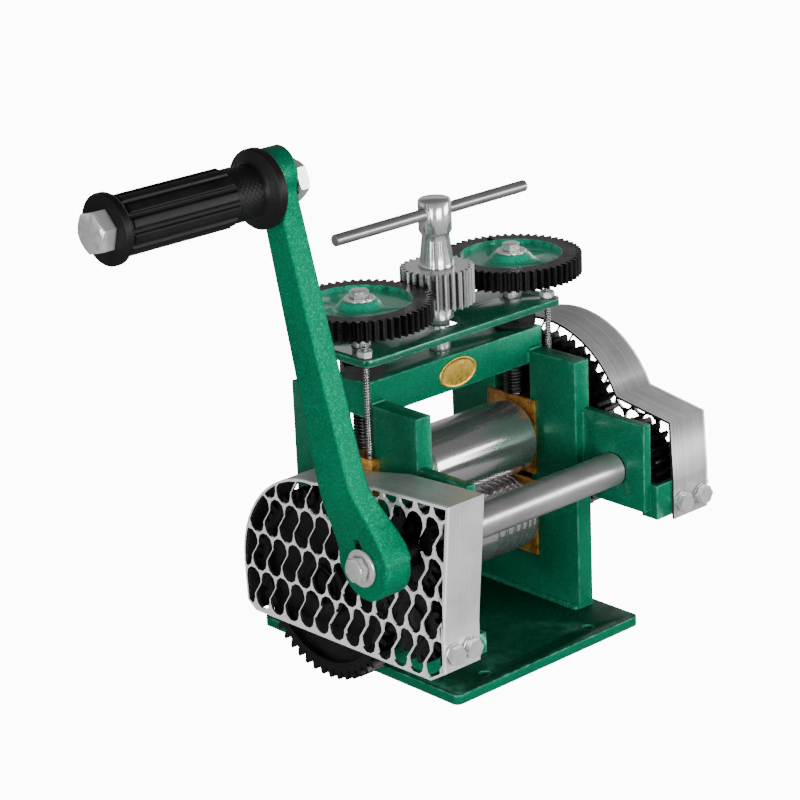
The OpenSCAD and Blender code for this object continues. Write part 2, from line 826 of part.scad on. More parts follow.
// Adjusting gear: toothed rim, sunk web and a hub that tapers upwards.
module adjust_gear(x) {
    ph = mesh_phase(mid_ph, mid_n, adj_n, x > 0 ? 0 : 180);
    color("#222222") translate([x, 0, adj_z]) difference() {
        union() {
            difference() {
                linear_extrude(adj_t) polygon(gear_outline(adj_m, adj_n, ph));
                translate([0, 0, adj_t - 3]) cylinder(h = 4, r = 30);
                translate([0, 0, -1]) cylinder(h = 3.5, r = 30);
            }
            rotate_extrude() polygon([[0, 1], [14, 1], [14, adj_t - 3],
                [10.5, hub_top - adj_z], [0, hub_top - adj_z]]);
        }
        translate([0, 0, -1]) cylinder(h = adj_t + 4, d = screw_top_d);
    }
}
module gear_washer(x) {
    color("silver") translate([x, 0, hub_top]) difference() {
        cylinder(h = washer_t, r = 9);
        translate([0, 0, -1]) cylinder(h = washer_t + 2, d = gear_bolt_d);
    }
}
module gear_bolt(x) {
    color("silver") translate([x, 0, hub_top + washer_t]) {
        hexagon(bolt_af, bolt_head);
        translate([0, 0, -gear_bolt_l])
            cylinder(h = gear_bolt_l, d = gear_bolt_d);
    }
}
module left_screw() { screw(-adj_x); }
module right_screw() { screw(adj_x); }
module left_adjust_gear() { adjust_gear(-adj_x); }
module right_adjust_gear() { adjust_gear(adj_x); }
module left_gear_washer() { gear_washer(-adj_x); }
module right_gear_washer() { gear_washer(adj_x); }
module left_gear_bolt() { gear_bolt(-adj_x); }
module right_gear_bolt() { gear_bolt(adj_x); }

// Turned shaft: shank, collar, pinion, tapered neck and drilled head.
module centre_pinion() {
    head_z = head_top - head_h;
    bar_z = head_top - head_h / 2;
    color("silver") difference() {
        union() {
            rotate_extrude() polygon([
                [0, beam_z + 2], [shank_d / 2, beam_z + 2],
                [shank_d / 2, mid_z - 6], [9, mid_z - 6], [9, mid_z + 1],
                [10.2, mid_top - 1], [10.2, mid_top + 1],
                [8, head_z - 2], [head_d / 2 - 1, head_z - 1],
                [head_d / 2, head_z + 0.5], [head_d / 2, head_top - 1],
                [head_d / 2 - 1, head_top], [0, head_top]]);
            translate([0, 0, mid_z]) linear_extrude(mid_top - mid_z)
                polygon(gear_outline(adj_m, mid_n, mid_ph));
        }
        rod_x(-head_d, head_d, bar_d / 2, 0, bar_z);
    }
}
module tommy_bar() {
    color("silver") rod_x(-bar_l / 2 - bar_shift, bar_l / 2 - bar_shift,
        bar_d / 2, 0, head_top - head_h / 2);
}

// Guards.

// Outline of the crank-side guard, front to back against height: round the
// lower gear at the back, a box round the two pinions in front.
left_outline = concat(
    [[57, idler_z - 31], [guard_r - 1, idler_z - 26]],
    arc([0, low_z], guard_r, 0, 91, 14),
    [[drive_y + 23, crank_z + 31.5], [left_front - 7.5, crank_z + 35],
     [left_front, idler_z + 2], [left_front, idler_z - 22],
     [left_front + 11.5, idler_z - 29]]);
left_open = [[57, idler_z - 31], [left_front + 11.5, idler_z - 29]];

// Outline of the far guard: round the upper gear, stepped over the pinion.
right_outline = concat(
    [[guard_r - 4, crank_z - 32]],
    arc([-4, up_z + 3], guard_r + 0.5, 0, 154, 22),
    [[right_front + 2.5, crank_z + 30], [right_front, crank_z - 6],
     [right_front, crank_z - 30]]);

// The strip round the edge of a guard, open underneath.
module guard_rim(outline, w) {
    n = len(outline);
    in = inset(outline, sheet);
    linear_extrude(w - sheet) difference() {
        polygon(outline);
        polygon(in);
        polygon([outline[n - 1] + [-sheet, -9], outline[0] + [sheet, -9],
                 in[0] + [0, 0.01], in[n - 1] + [0, 0.01]]);
    }
}

// One cell of the perforated sheet: two round ends joined by a slanted
// waist. The second half is the first one turned half round.
lobe_r = (cell_x - cell_web) / 2;
row_z = cell_h + cell_x * sin(60);
row_y = cell_x / 2 - 2 * cell_lean;
cell_half = concat(
    [for (i = [-2, 0, 2]) [lobe_r - cell_lean * sin(45 * i), i * cell_h / 6]],
    [for (a = [0 : 36 : 180])
        [lobe_r * cos(a) - cell_lean, lobe_r * sin(a) + cell_h / 2]]);
module cell() {
    polygon(concat(cell_half, [for (p = cell_half) -p]));
}

// The perforated sheet that closes a guard's outer side. The first cell
// stands at lo; plain is a place left whole and its radius.
module guard_face(outline, lo, hi, hole, plain) {
    rows = ceil((hi[1] - lo[1]) / row_z);
    cols = ceil((hi[0] - lo[0]) / cell_x);
    color("lightgray") linear_extrude(sheet) difference() {
        polygon(outline);
        difference() {
            intersection() {
                polygon(inset(outline, sheet + 0.5));
                for (j = [0 : rows], i = [-1 : cols])
                    translate([lo[0] + i * cell_x + j * row_y,
                               lo[1] + j * row_z]) cell();
            }
            translate([plain[0], plain[1]]) circle(plain[2]);
        }
        if (hole > 0) translate([drive_y, crank_z]) circle(hole);
    }
}

left_lo = [left_front - 6.1, idler_z - 15.6];
left_hi = [guard_r, crank_z + 34];
right_lo = [right_front + 8, crank_z - 20];
right_hi = [guard_r, up_z + guard_r];

module left_guard_rim() {
    color("lightgray") difference() {
        along_x(-left_guard_x + sheet) guard_rim(left_outline, left_rim_w);
        bolt_holes();
    }
}
module left_guard_face() {
    along_x(-left_guard_x)
        guard_face(left_outline, left_lo, left_hi, shaft_d / 2 + 3,
            [drive_y, crank_z, shaft_d / 2 + 3]);
}
module right_guard_rim() {
    color("lightgray") difference() {
        along_x(right_guard_x - right_rim_w)
            guard_rim(right_outline, right_rim_w);
        bolt_holes();
    }
}
module right_guard_face() {
    difference() {
        along_x(right_guard_x - sheet)
            guard_face(right_outline, right_lo, right_hi, 0,
                [side_bolt[0], side_bolt[1], side_bolt_d + 2]);
        side_bolt_hole();
    }
}

// Angle welded to a bracket from its front end at y to y1; the guard's
// front is bolted to it.
module guard_tab(z, y, y1, x1, back) {
    box([side_out, y, z[0]], [side_out + 4, y1, z[1]]);
    box([side_out + 4, y, z[0]], [x1, y + back, z[1]]);
}
// The crank-side tab stops short of the idler's boss.
left_tab_y = drive_y
    - sqrt(pow(boss_r + 0.3, 2) - pow(idler_z - left_tab[1], 2));
module left_guard_tab() {
    color("seagreen") difference() {
        mirror([1, 0, 0]) guard_tab(left_tab, left_front + sheet, left_tab_y,
            left_guard_x - 3, tab_t[0]);
        bolt_holes();
    }
}
// The far tab turns back along the guard's closed side for the side bolt.
module right_guard_tab() {
    x1 = right_guard_x - sheet;
    color("seagreen") difference() {
        union() {
            guard_tab(right_tab, right_front + sheet, right_brk_y + 7.5, x1,
                tab_t[1]);
            box([lug_x, right_front + sheet, right_tab[0]],
                [x1, side_bolt[0] + side_bolt_d, right_tab[1]]);
        }
        bolt_holes();
        side_bolt_hole();
    }
}

// Flanged bolt with its head pointing towards the operator.
module front_bolt(x, y, z, l) {
    translate([x, y, z]) rotate([90, 0, 0]) {
        cylinder(h = 1.2, r = 6.2);
        translate([0, 0, 1.2]) hexagon(bolt_af, bolt_head);
        translate([0, 0, -l]) cylinder(h = l, d = guard_bolt_d);
    }
}
module guard_bolts() {
    color("silver") {
        for (b = bolt_at)
            front_bolt(b[0], b[1], b[2], sheet + tab_t[b[0] < 0 ? 0 : 1]);
        side_bolt_hole(right_guard_x);
        along_x(right_guard_x) translate(side_bolt) hexagon(8, 3.4);
    }
}
// Holes for the guard bolts, a little longer than the bolts themselves.
hole_l = 30;
module bolt_holes() {
    for (b = bolt_at) translate([b[0], b[1] + hole_l - bolt_af, b[2]])
        rotate([90, 0, 0]) cylinder(h = hole_l, d = guard_bolt_d);
}
module side_bolt_hole(x1 = right_guard_x + 1) {
    rod_x(lug_x, x1, side_bolt_d / 2, side_bolt[0], side_bolt[1]);
}

base_plate();
foot_welds();
left_side_plate();
right_side_plate();
top_beam();
badge();
screw_nuts();
left_bracket();
right_bracket();
left_lower_block();
right_lower_block();
lower_washers();
idler_stud();
left_guard_tab();
right_guard_tab();
left_guard_rim();
left_guard_face();
right_guard_rim();
right_guard_face();
guard_bolts();
crankshaft();
left_pinion();
right_pinion();
pinion_keys();
crank_arm();
crank_key();
crank_washer();
crank_bolt();
grip_bolt();
grip_washer();
grip_nut();
grip();
idler_gear();
lower_roll();
lower_roll_gear();
lower_gear_key();
lower_gear_ring();
lift_plate();
left_upper_block();
right_upper_block();
lift_rods();
rod_nuts();
left_screw();
left_adjust_gear();
left_gear_washer();
left_gear_bolt();
right_screw();
right_adjust_gear();
right_gear_washer();
right_gear_bolt();
upper_washers();
upper_roll();
upper_roll_gear();
upper_gear_key();
upper_gear_ring();
centre_pinion();
tommy_bar();
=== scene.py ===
import math

import bmesh
import bpy
import numpy as np
from mathutils import Matrix, Vector


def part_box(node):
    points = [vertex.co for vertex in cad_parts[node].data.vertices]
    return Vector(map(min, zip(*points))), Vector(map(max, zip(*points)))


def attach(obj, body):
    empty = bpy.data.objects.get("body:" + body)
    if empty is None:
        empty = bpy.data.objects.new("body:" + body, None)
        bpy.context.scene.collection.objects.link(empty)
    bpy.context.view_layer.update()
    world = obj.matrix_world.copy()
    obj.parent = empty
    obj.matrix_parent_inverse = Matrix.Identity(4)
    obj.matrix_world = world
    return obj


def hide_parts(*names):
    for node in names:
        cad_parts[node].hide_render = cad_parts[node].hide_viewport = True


# Jewellers rolling mill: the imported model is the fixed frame, and this script dresses it.
# Lengths in the dictionaries are millimetres; every mesh is put down in metres.
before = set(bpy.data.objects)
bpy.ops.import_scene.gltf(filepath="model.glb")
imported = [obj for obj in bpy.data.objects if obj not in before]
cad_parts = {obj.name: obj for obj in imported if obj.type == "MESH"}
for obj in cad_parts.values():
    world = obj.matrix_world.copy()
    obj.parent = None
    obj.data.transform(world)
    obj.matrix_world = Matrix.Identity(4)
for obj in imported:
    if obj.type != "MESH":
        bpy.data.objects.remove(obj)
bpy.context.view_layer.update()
mm = 0.001
print("stage: frame loaded,", len(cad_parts), "nodes")


# camera

viewpoint = dict(
    azimuth=-42.05, elevation=19.43, roll=-2.50, lens=122.688, place=(-1.0318, -1.1072, 0.6792), sensor=36.0,
    clip=(0.05, 50.0))


def showObject(name, data):
    obj = bpy.data.objects.new(name, data)
    bpy.context.scene.collection.objects.link(obj)
    return obj


def makeCamera(settings):
    # back points from the mill to the camera; right and up are turned about it by the roll
    a, e, r = (math.radians(settings[k]) for k in ("azimuth", "elevation", "roll"))
    back = Vector((math.sin(a) * math.cos(e), -math.cos(a) * math.cos(e), math.sin(e)))
    right = Vector((math.cos(a), math.sin(a), 0))
    up = back.cross(right)
    tiltedRight = right * math.cos(r) + up * math.sin(r)
    tiltedUp = -right * math.sin(r) + up * math.cos(r)
    data = bpy.data.cameras.new("photoCamera")
    data.sensor_fit = "HORIZONTAL"
    data.sensor_width = settings["sensor"]
    data.lens = settings["lens"]
    data.clip_start, data.clip_end = settings["clip"]
    obj = showObject("photoCamera", data)
    turn = Matrix((tiltedRight, tiltedUp, back)).transposed().to_4x4()
    obj.matrix_world = Matrix.Translation(settings["place"]) @ turn
    bpy.context.scene.camera = obj


makeCamera(viewpoint)
print("stage: camera placed")


# node helpers

def grey(level):
    return (level, level, level, 1)


def fillInputs(tree, node, values):
    # each input, by name or number, is linked if its value is a socket and set if it is not
    for key, value in values.items():
        if isinstance(value, bpy.types.NodeSocket):
            tree.links.new(value, node.inputs[key])
        else:
            node.inputs[key].default_value = value


def addNode(tree, kind, inputs=None, **settings):
    # one shader node, with its properties as settings
    node = tree.nodes.new("ShaderNode" + kind)
    for key, value in settings.items():
        setattr(node, key, value)
    fillInputs(tree, node, inputs or {})
    return node


def calculate(tree, operation, a, b=0.0):
    return addNode(tree, "Math", {0: a, 1: b}, operation=operation).outputs[0]


def remap(tree, value, fromLow, fromHigh, toLow, toHigh):
    return addNode(tree, "MapRange", {0: value, 1: fromLow, 2: fromHigh, 3: toLow, 4: toHigh}).outputs[0]


def blendColours(tree, factor, a, b):
    return addNode(tree, "Mix", {0: factor, 6: a, 7: b}, data_type="RGBA").outputs[2]


def blendValues(tree, factor, a, b):
    return addNode(tree, "Mix", {0: factor, 2: a, 3: b}, data_type="FLOAT").outputs[0]


def addNoise(tree, vector, scale, detail, roughness=0.5):
    values = {"Vector": vector, "Scale": scale, "Detail": detail, "Roughness": roughness}
    return addNode(tree, "TexNoise", values).outputs[0]


def makeGroup(name, build, *inputs):
    # a node group; build gets the tree and the inputs, floats but for Vector, and gives back the outputs by name
    tree = bpy.data.node_groups.new(name, "ShaderNodeTree")
    for label in inputs:
        kind = "NodeSocketVector" if label == "Vector" else "NodeSocketFloat"
        tree.interface.new_socket(name=label, in_out="INPUT", socket_type=kind)
    results = build(tree, *tree.nodes.new("NodeGroupInput").outputs[:len(inputs)])
    for label in results:
        tree.interface.new_socket(name=label, in_out="OUTPUT", socket_type="NodeSocketFloat")
    fillInputs(tree, tree.nodes.new("NodeGroupOutput"), results)
    return tree


def smudgeNodes(tree, vector, size, contrast):
    # cloudy patches with fine specks in them: Patch for colour and gloss, Speck for dust
    wide = addNoise(tree, vector, size, detail=5.0, roughness=0.62)
    spread = calculate(tree, "MULTIPLY", contrast, 0.4)
    low, high = calculate(tree, "SUBTRACT", 0.5, spread), calculate(tree, "ADD", 0.5, spread)
    small = addNoise(tree, vector, scale=900.0, detail=2.0)
    return {"Patch": remap(tree, wide, low, high, 0.0, 1.0), "Speck": remap(tree, small, 0.62, 0.75, 0.0, 1.0)}


def turningNodes(tree, vector, fineness):
    # rings round the X axis of the given vector: noise that changes only along X
    squeezed = addNode(tree, "VectorMath", {0: vector, 1: (1.0, 0.002, 0.002)}, operation="MULTIPLY").outputs[0]
    return {"Height": addNoise(tree, squeezed, fineness, detail=3.0, roughness=0.7)}


def flakeNodes(tree, vector, fineness, share):
    # metal flakes in paint: one random value for each tiny cell, and a grain height
    cells = addNode(tree, "TexVoronoi", {"Vector": vector, "Scale": fineness}).outputs
    chance = addNode(tree, "SeparateColor", {0: cells["Color"]}).outputs[0]
    edge = calculate(tree, "SUBTRACT", 1.0, share)
    return {"Glint": remap(tree, chance, edge, 1.0, 0.0, 1.0), "Height": cells["Distance"]}


def scratchNodes(tree, vector, amount):
    # fine lines in two directions, broken up by noise
    lines = []
    for turn, stretch in ((0.35, (6.0, 380.0, 380.0)), (-0.9, (420.0, 9.0, 300.0))):
        place = addNode(tree, "Mapping", {0: vector, 2: (turn, turn * 0.7, turn), 3: stretch}).outputs[0]
        lines.append(remap(tree, addNoise(tree, place, scale=3.0, detail=2.0), 0.66, 0.74, 0.0, 1.0))
    return {"Lines": calculate(tree, "MULTIPLY", calculate(tree, "MAXIMUM", *lines), amount)}


def edgeNodes(tree, width):
    # how near a sharp edge is: the normal rounded over the width given, against the true one
    soft = addNode(tree, "Bevel", {"Radius": width}, samples=4).outputs[0]
    flat = addNode(tree, "NewGeometry").outputs["True Normal"]
    alike = addNode(tree, "VectorMath", {0: soft, 1: flat}, operation="DOT_PRODUCT").outputs["Value"]
    return {"Edge": remap(tree, alike, 0.90, 0.99, 1.0, 0.0)}


smudges = makeGroup("smudges", smudgeNodes, "Vector", "Size", "Contrast")
turningMarks = makeGroup("turningMarks", turningNodes, "Vector", "Fineness")
flakes = makeGroup("flakes", flakeNodes, "Vector", "Fineness", "Share")
scratches = makeGroup("scratches", scratchNodes, "Vector", "Amount")
edgeMask = makeGroup("edgeMask", edgeNodes, "Width")


def useGroup(tree, group, *inputs):
    return addNode(tree, "Group", dict(enumerate(inputs)), node_tree=group).outputs


def startMaterial(name, shader):
    # a new material, its tree, its Principled shader and the object's own coordinates
    material = bpy.data.materials.new(name)
    material.use_nodes = True
    tree = material.node_tree
    principled = tree.nodes["Principled BSDF"]
    fillInputs(tree, principled, shader)
    return material, tree, principled, addNode(tree, "TexCoord").outputs["Object"]


def giveBump(tree, principled, height, strength, distance):
    bump = addNode(tree, "Bump", {"Height": height, "Strength": strength, "Distance": distance})
    tree.links.new(bump.outputs[0], principled.inputs["Normal"])


# green paint

# each look holds the pale green of the painted highlight along sharp edges, with its strength and width
plateGreen = dict(
    dark=(0.0, 0.122, 0.060, 1), mid=(0.0, 0.160, 0.080, 1), light=(0.010, 0.34, 0.20, 1), edgeHighlight=(0.17, 0.62, 0.44, 1),
    fineness=3200.0, share=0.16, metallic=0.3, coat=0.16, coatRough=0.12, specular=0.08, rough=0.34, peel=420.0,
    bump=0.16, grain=0.0006, worn=0.8, edgeHighlightWidth=0.0009)
castGreen = dict(
    plateGreen, dark=(0.0, 0.135, 0.066, 1), mid=(0.0, 0.205, 0.100, 1), light=(0.002, 0.40, 0.19, 1),
    fineness=2500.0, share=0.26, metallic=0.45, coat=0.0, specular=0.02, rough=0.40, peel=620.0, bump=0.46, worn=0.5)
# painted light: the gear webs get a much lighter copy of the plate green, for the light their tops catch from above
litWebGreen = dict(plateGreen, dark=(0.004, 0.36, 0.20, 1), mid=(0.012, 0.52, 0.31, 1), light=(0.08, 0.74, 0.52, 1))
# painted shade: a much darker green for the base plate's top, standing for the shade it lies in
baseTopShade = dict(plateGreen, dark=(0.0, 0.032, 0.014, 1), mid=(0.0, 0.045, 0.021, 1), light=(0.002, 0.13, 0.065, 1),
                 metallic=0.1, coat=0.0, specular=0.02)
liftGreen = dict(plateGreen, dark=(0.0, 0.085, 0.044, 1), mid=(0.0, 0.125, 0.064, 1), coat=0.75, coatRough=0.05)


def paintOutputs(tree, place, look):
    # colour, roughness and grain height of the green paint
    spark = useGroup(tree, flakes, place, look["fineness"], look["share"])
    dirt = useGroup(tree, smudges, place, 26.0, 0.55)
    tone = blendColours(tree, dirt["Patch"], look["dark"], look["mid"])
    colour = blendColours(tree, spark["Glint"], tone, look["light"])
    rough = remap(tree, dirt["Patch"], 0.0, 1.0, look["rough"] * 0.8, look["rough"] * 1.2)
    rough = calculate(tree, "ADD", rough, calculate(tree, "MULTIPLY", dirt["Speck"], 0.15))
    peel = addNoise(tree, place, look["peel"], detail=3.0)
    return colour, rough, calculate(tree, "ADD", calculate(tree, "MULTIPLY", spark["Height"], 0.35), peel)


def makePaint(name, look):
    # paint with thin light lines along sharp edges, a painted highlight broken up by noise
    material, tree, principled, place = startMaterial(name, {
        "Metallic": look["metallic"], "Specular IOR Level": look["specular"],
        "Coat Weight": look["coat"], "Coat Roughness": look["coatRough"], "Coat IOR": 1.45})
    colour, rough, height = paintOutputs(tree, place, look)
    edge = useGroup(tree, edgeMask, look["edgeHighlightWidth"])["Edge"]
    broken = remap(tree, addNoise(tree, place, scale=130.0, detail=3.0), 0.42, 0.62, 0.15, look["worn"])
    # painted highlight: a pale green blended in along sharp edges
    colour = blendColours(tree, calculate(tree, "MULTIPLY", edge, broken), colour, look["edgeHighlight"])
    fillInputs(tree, principled, {"Base Color": colour, "Roughness": rough})
    giveBump(tree, principled, height, look["bump"], look["grain"])
    return material


greenPaint, greenCasting = makePaint("greenPaint", plateGreen), makePaint("greenCasting", castGreen)
liftPaint, baseTopShadePaint = makePaint("liftPaint", liftGreen), makePaint("baseTopShadePaint", baseTopShade)


# bare metals

# near-black for blackened steel and for a painted shadow, painted shade for corners and creases, and the ambient
# occlusion values between which that shade goes from full to none
blackAndShade = dict(nearBlack=(0.012, 0.011, 0.011, 1), old=(0.018, 0.016, 0.015, 1), closed=0.35, open=0.85)


def makeMetal(name, **look):
    # cloudy tone, fine grain or turning marks, and scratches in the gloss; past a distance from the middle of the mill,
    # in metres, the metal is coloured near-black: on the shaft this starts just short of the brackets and is a painted
    # shadow in the gap where it goes into them; within a set reach, in metres, painted shade darkens the corners and
    # creases that ambient occlusion finds; streak is how far its reflections are drawn out along X
    material, tree, principled, place = startMaterial(name, {"Metallic": look.get("metallic", 1.0)})
    dirt = useGroup(tree, smudges, place, look["patch"], 0.6)
    marks = useGroup(tree, scratches, place, look["scratch"])["Lines"]
    tone = blendColours(tree, dirt["Patch"], look["dark"], look["light"])
    tone = blendColours(tree, calculate(tree, "MULTIPLY", marks, 0.5), tone, look["bright"])
    # near-black past the given distance along X: on the shaft, a painted shadow where it goes into the brackets
    if "oiled" in look:
        along = calculate(tree, "ABSOLUTE", addNode(tree, "SeparateXYZ", {0: place}).outputs[0])
        tone = blendColours(tree, calculate(tree, "GREATER_THAN", along, look["oiled"]), tone, blackAndShade["nearBlack"])
    # painted shade: corners and creases that ambient occlusion finds closed in are darkened
    if "crease" in look:
        openness = addNode(tree, "AmbientOcclusion", {"Distance": look["crease"]}, samples=8).outputs["AO"]
        closed = remap(tree, openness, blackAndShade["closed"], blackAndShade["open"], 1.0, 0.0)
        tone = blendColours(tree, closed, tone, blackAndShade["old"])
    if "axis" in look:
        turned = addNode(tree, "Mapping", {0: place, 2: look["axis"]}).outputs[0]
        rings = useGroup(tree, turningMarks, turned, look["fineness"])["Height"]
        giveBump(tree, principled, rings, look["bump"], 0.0002)
        if "brushed" in look:
            tone = blendColours(tree, remap(tree, rings, 0.50, 0.72, 0.0, look["brushed"]), tone, look["bright"])
    else:
        giveBump(tree, principled, addNoise(tree, place, look["fineness"], detail=4.0), look["bump"], 0.0004)
    if "streak" in look:
        tangent = addNode(tree, "Tangent", direction_type="RADIAL", axis="X").outputs[0]
        fillInputs(tree, principled, {"Tangent": tangent, "Anisotropic": look["streak"], "Anisotropic Rotation": 0.25})
    rough = remap(tree, dirt["Patch"], 0.0, 1.0, *look["rough"])
    rough = calculate(tree, "ADD", rough, calculate(tree, "MULTIPLY", marks, 0.12))
    fillInputs(tree, principled, {"Base Color": tone, "Roughness": rough})
    return material


# the turn that brings the axis of the turning marks onto X
alongX, alongZ = (0.0, 0.0, 0.0), (0.0, math.pi / 2, 0.0)
rollSteel = makeMetal(
    "rollSteel", dark=(0.62, 0.585, 0.60, 1), light=(0.76, 0.72, 0.735, 1), bright=grey(0.8), metallic=0.90, patch=22.0,
    scratch=0.08, rough=(0.15, 0.20), streak=0.85, axis=alongX, fineness=3200.0, bump=0.05, oiled=0.077)
shaftLook = dict(
    dark=(0.46, 0.44, 0.45, 1), light=(0.62, 0.60, 0.61, 1), bright=grey(0.8), metallic=0.80, patch=30.0,
    scratch=0.25, rough=(0.32, 0.40), streak=0.75, axis=alongX, fineness=2400.0, bump=0.08)
# near-black from 63.2 mm out: painted shadow in the gap where the shaft goes into each bracket
shaftSteel = makeMetal("shaftSteel", **shaftLook, oiled=0.0632)
barLook = dict(shaftLook, dark=(0.30, 0.29, 0.29, 1), light=(0.44, 0.43, 0.43, 1), crease=0.0015)
barSteel = makeMetal("barSteel", **barLook)
handleChrome = makeMetal(
    "handleChrome", dark=grey(0.70), light=grey(0.88), bright=grey(0.9), metallic=0.85, patch=40.0, scratch=0.25,
    rough=(0.08, 0.16), axis=alongZ, fineness=2600.0, bump=0.10, crease=0.0030)
zincPlate = makeMetal(
    "zincPlate", dark=(0.74, 0.73, 0.72, 1), light=(1.0, 0.99, 0.98, 1), bright=(0.24, 0.24, 0.23, 1), metallic=0.70,
    patch=260.0, scratch=1.0, rough=(0.07, 0.20), fineness=1100.0, bump=0.45, crease=0.0030)
rodSteel = makeMetal(
    "rodSteel", dark=grey(0.34), light=(0.62, 0.62, 0.61, 1), bright=grey(0.8), patch=200.0, scratch=0.3,
    rough=(0.16, 0.28), fineness=1500.0, bump=0.12, crease=0.0009)
blackenedSteel = makeMetal(
    "blackenedSteel", dark=grey(0.004), light=blackAndShade["nearBlack"], bright=grey(0.06), metallic=0.5, patch=60.0,
    scratch=0.25, rough=(0.24, 0.42), fineness=900.0, bump=0.22)
threadSteel = makeMetal(
    "threadSteel", dark=grey(0.03), light=grey(0.11), bright=grey(0.3), patch=90.0, scratch=0.2,
    rough=(0.22, 0.36), fineness=1200.0, bump=0.12, crease=0.0012)
milledBronze = makeMetal(
    "milledBronze", dark=(0.17, 0.064, 0.010, 1), light=(0.88, 0.44, 0.095, 1), bright=(0.95, 0.62, 0.24, 1),
    metallic=0.75, patch=150.0, scratch=1.0, rough=(0.26, 0.45), fineness=420.0, bump=0.6)
guardSteel = makeMetal(
    "guardSteel", dark=grey(0.57), light=grey(0.77), bright=grey(0.92), metallic=0.55, patch=46.0, scratch=0.8,
    rough=(0.40, 0.52), axis=alongX, fineness=900.0, brushed=0.5, bump=0.25)
# painted light: the punched faces are a much lighter copy of the guard steel, for their lit webs
litPunchedSteel = makeMetal(
    "litPunchedSteel", dark=grey(0.86), light=grey(0.97), bright=grey(0.99), metallic=0.15, patch=90.0, scratch=0.3,
    rough=(0.30, 0.44), fineness=500.0, bump=0.15)
# painted shade: the far guard's rim is a darker copy of the guard steel, for the less light it gets
shadedFarGuardSteel = makeMetal(
    "shadedFarGuardSteel", dark=grey(0.36), light=grey(0.50), bright=grey(0.76), metallic=0.65, patch=46.0, scratch=1.0,
    rough=(0.40, 0.55), axis=alongX, fineness=900.0, brushed=0.7, bump=0.35)
# painted shade: near-black for the inside of the guards
guardInsideShade = makeMetal(
    "guardInsideShade", dark=grey(0.010), light=grey(0.030), bright=grey(0.06), metallic=0.3, patch=60.0, scratch=0.3,
    rough=(0.40, 0.60), fineness=700.0, bump=0.20)
badgeBrass = makeMetal(
    "badgeBrass", dark=(0.50, 0.28, 0.03, 1), light=(0.86, 0.58, 0.13, 1), bright=(0.95, 0.75, 0.30, 1),
    patch=420.0, scratch=0.3, rough=(0.26, 0.40), fineness=2600.0, bump=0.40)


# rubber and the two-tone finish of the adjusting gears

def makeRubber():
    material, tree, principled, place = startMaterial("gripRubber", {"Specular IOR Level": 0.20})
    patch = useGroup(tree, smudges, place, 45.0, 0.5)["Patch"]
    fillInputs(tree, principled, {"Base Color": blendColours(tree, patch, grey(0.003), grey(0.008)),
                                  "Roughness": remap(tree, patch, 0.0, 1.0, 0.36, 0.50)})
    giveBump(tree, principled, addNoise(tree, place, scale=1800.0, detail=3.0), 0.18, 0.0003)
    return material


gripRubber = makeRubber()
gearPlace = dict(x=60.75, paintEdge=30.8, lift=2.5)


def makeGearFinish(name, centreX):
    # green paint within a radius of an adjusting gear's axis, made ragged by noise and lightened as painted light for
    # the light its top catches, and blackened steel outside it
    material, tree, principled, place = startMaterial(name, {"Coat Roughness": 0.12, "Specular IOR Level": 0.2})
    colour, rough, height = paintOutputs(tree, place, litWebGreen)
    split = addNode(tree, "SeparateXYZ", {0: place}).outputs
    across = calculate(tree, "SUBTRACT", split[0], centreX * mm)
    squares = [calculate(tree, "POWER", side, 2.0) for side in (across, split[1])]
    radius = calculate(tree, "SQRT", calculate(tree, "ADD", *squares))
    ragged = calculate(tree, "MULTIPLY", addNoise(tree, place, scale=160.0, detail=2.0), 0.0012)
    limit, soft = gearPlace["paintEdge"] * mm, 0.0002
    painted = remap(tree, calculate(tree, "ADD", radius, ragged), limit - soft, limit + soft, 1.0, 0.0)
    patch = useGroup(tree, smudges, place, 70.0, 0.5)["Patch"]
    black = blendColours(tree, patch, grey(0.004), (0.014, 0.013, 0.013, 1))
    fillInputs(tree, principled, {
        "Base Color": blendColours(tree, painted, black, colour),
        "Roughness": blendValues(tree, painted, remap(tree, patch, 0.0, 1.0, 0.25, 0.42), rough),
        "Metallic": remap(tree, painted, 0.0, 1.0, 0.5, 0.05),
        "Coat Weight": remap(tree, painted, 0.0, 1.0, 0.0, 0.85)})
    giveBump(tree, principled, height, 0.15, litWebGreen["grain"])
    return material


leftGearFinish = makeGearFinish("leftGearFinish", -gearPlace["x"])
rightGearFinish = makeGearFinish("rightGearFinish", gearPlace["x"])
print("stage: materials made")


# surface helpers

xAxis, zAxis = (1, 0, 0), (0, 0, 1)
meshWork = dict(weld=2e-6, flat=0.6, sharp=34, hexSharp=28, bevelSteps=2, bevelFrom=30)


def spanOf(node, axis):
    # where a CAD node starts and ends along an axis, in millimetres
    low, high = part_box(node)
    return low[axis] / mm, high[axis] / mm


def circle(segments):
    return np.linspace(0, 2 * np.pi, segments, endpoint=False)


def spin(origin, axis, s, r, angle):
    # point = origin + s * axis + r * (cos(angle) * side + sin(angle) * other), side and other square to the axis
    axis = np.array(axis, float) / np.linalg.norm(axis)
    side = np.cross(axis, (0.0, 1.0, 0.0) if abs(axis[1]) < 0.9 else (1.0, 0.0, 0.0))
    side /= np.linalg.norm(side)
    ring = np.cos(angle)[:, None] * side + np.sin(angle)[:, None] * np.cross(axis, side)
    return np.array(origin, float) + s[..., None] * axis + r[..., None] * ring


def gridFaces(rows, columns):
    # quads of a rows by columns grid of points, with the last column joined to the first
    r, c = np.meshgrid(np.arange(rows - 1), np.arange(columns), indexing="ij")
    n = (c + 1) % columns
    return np.stack([r * columns + c, r * columns + n, (r + 1) * columns + n, (r + 1) * columns + c], -1).reshape(-1, 4)


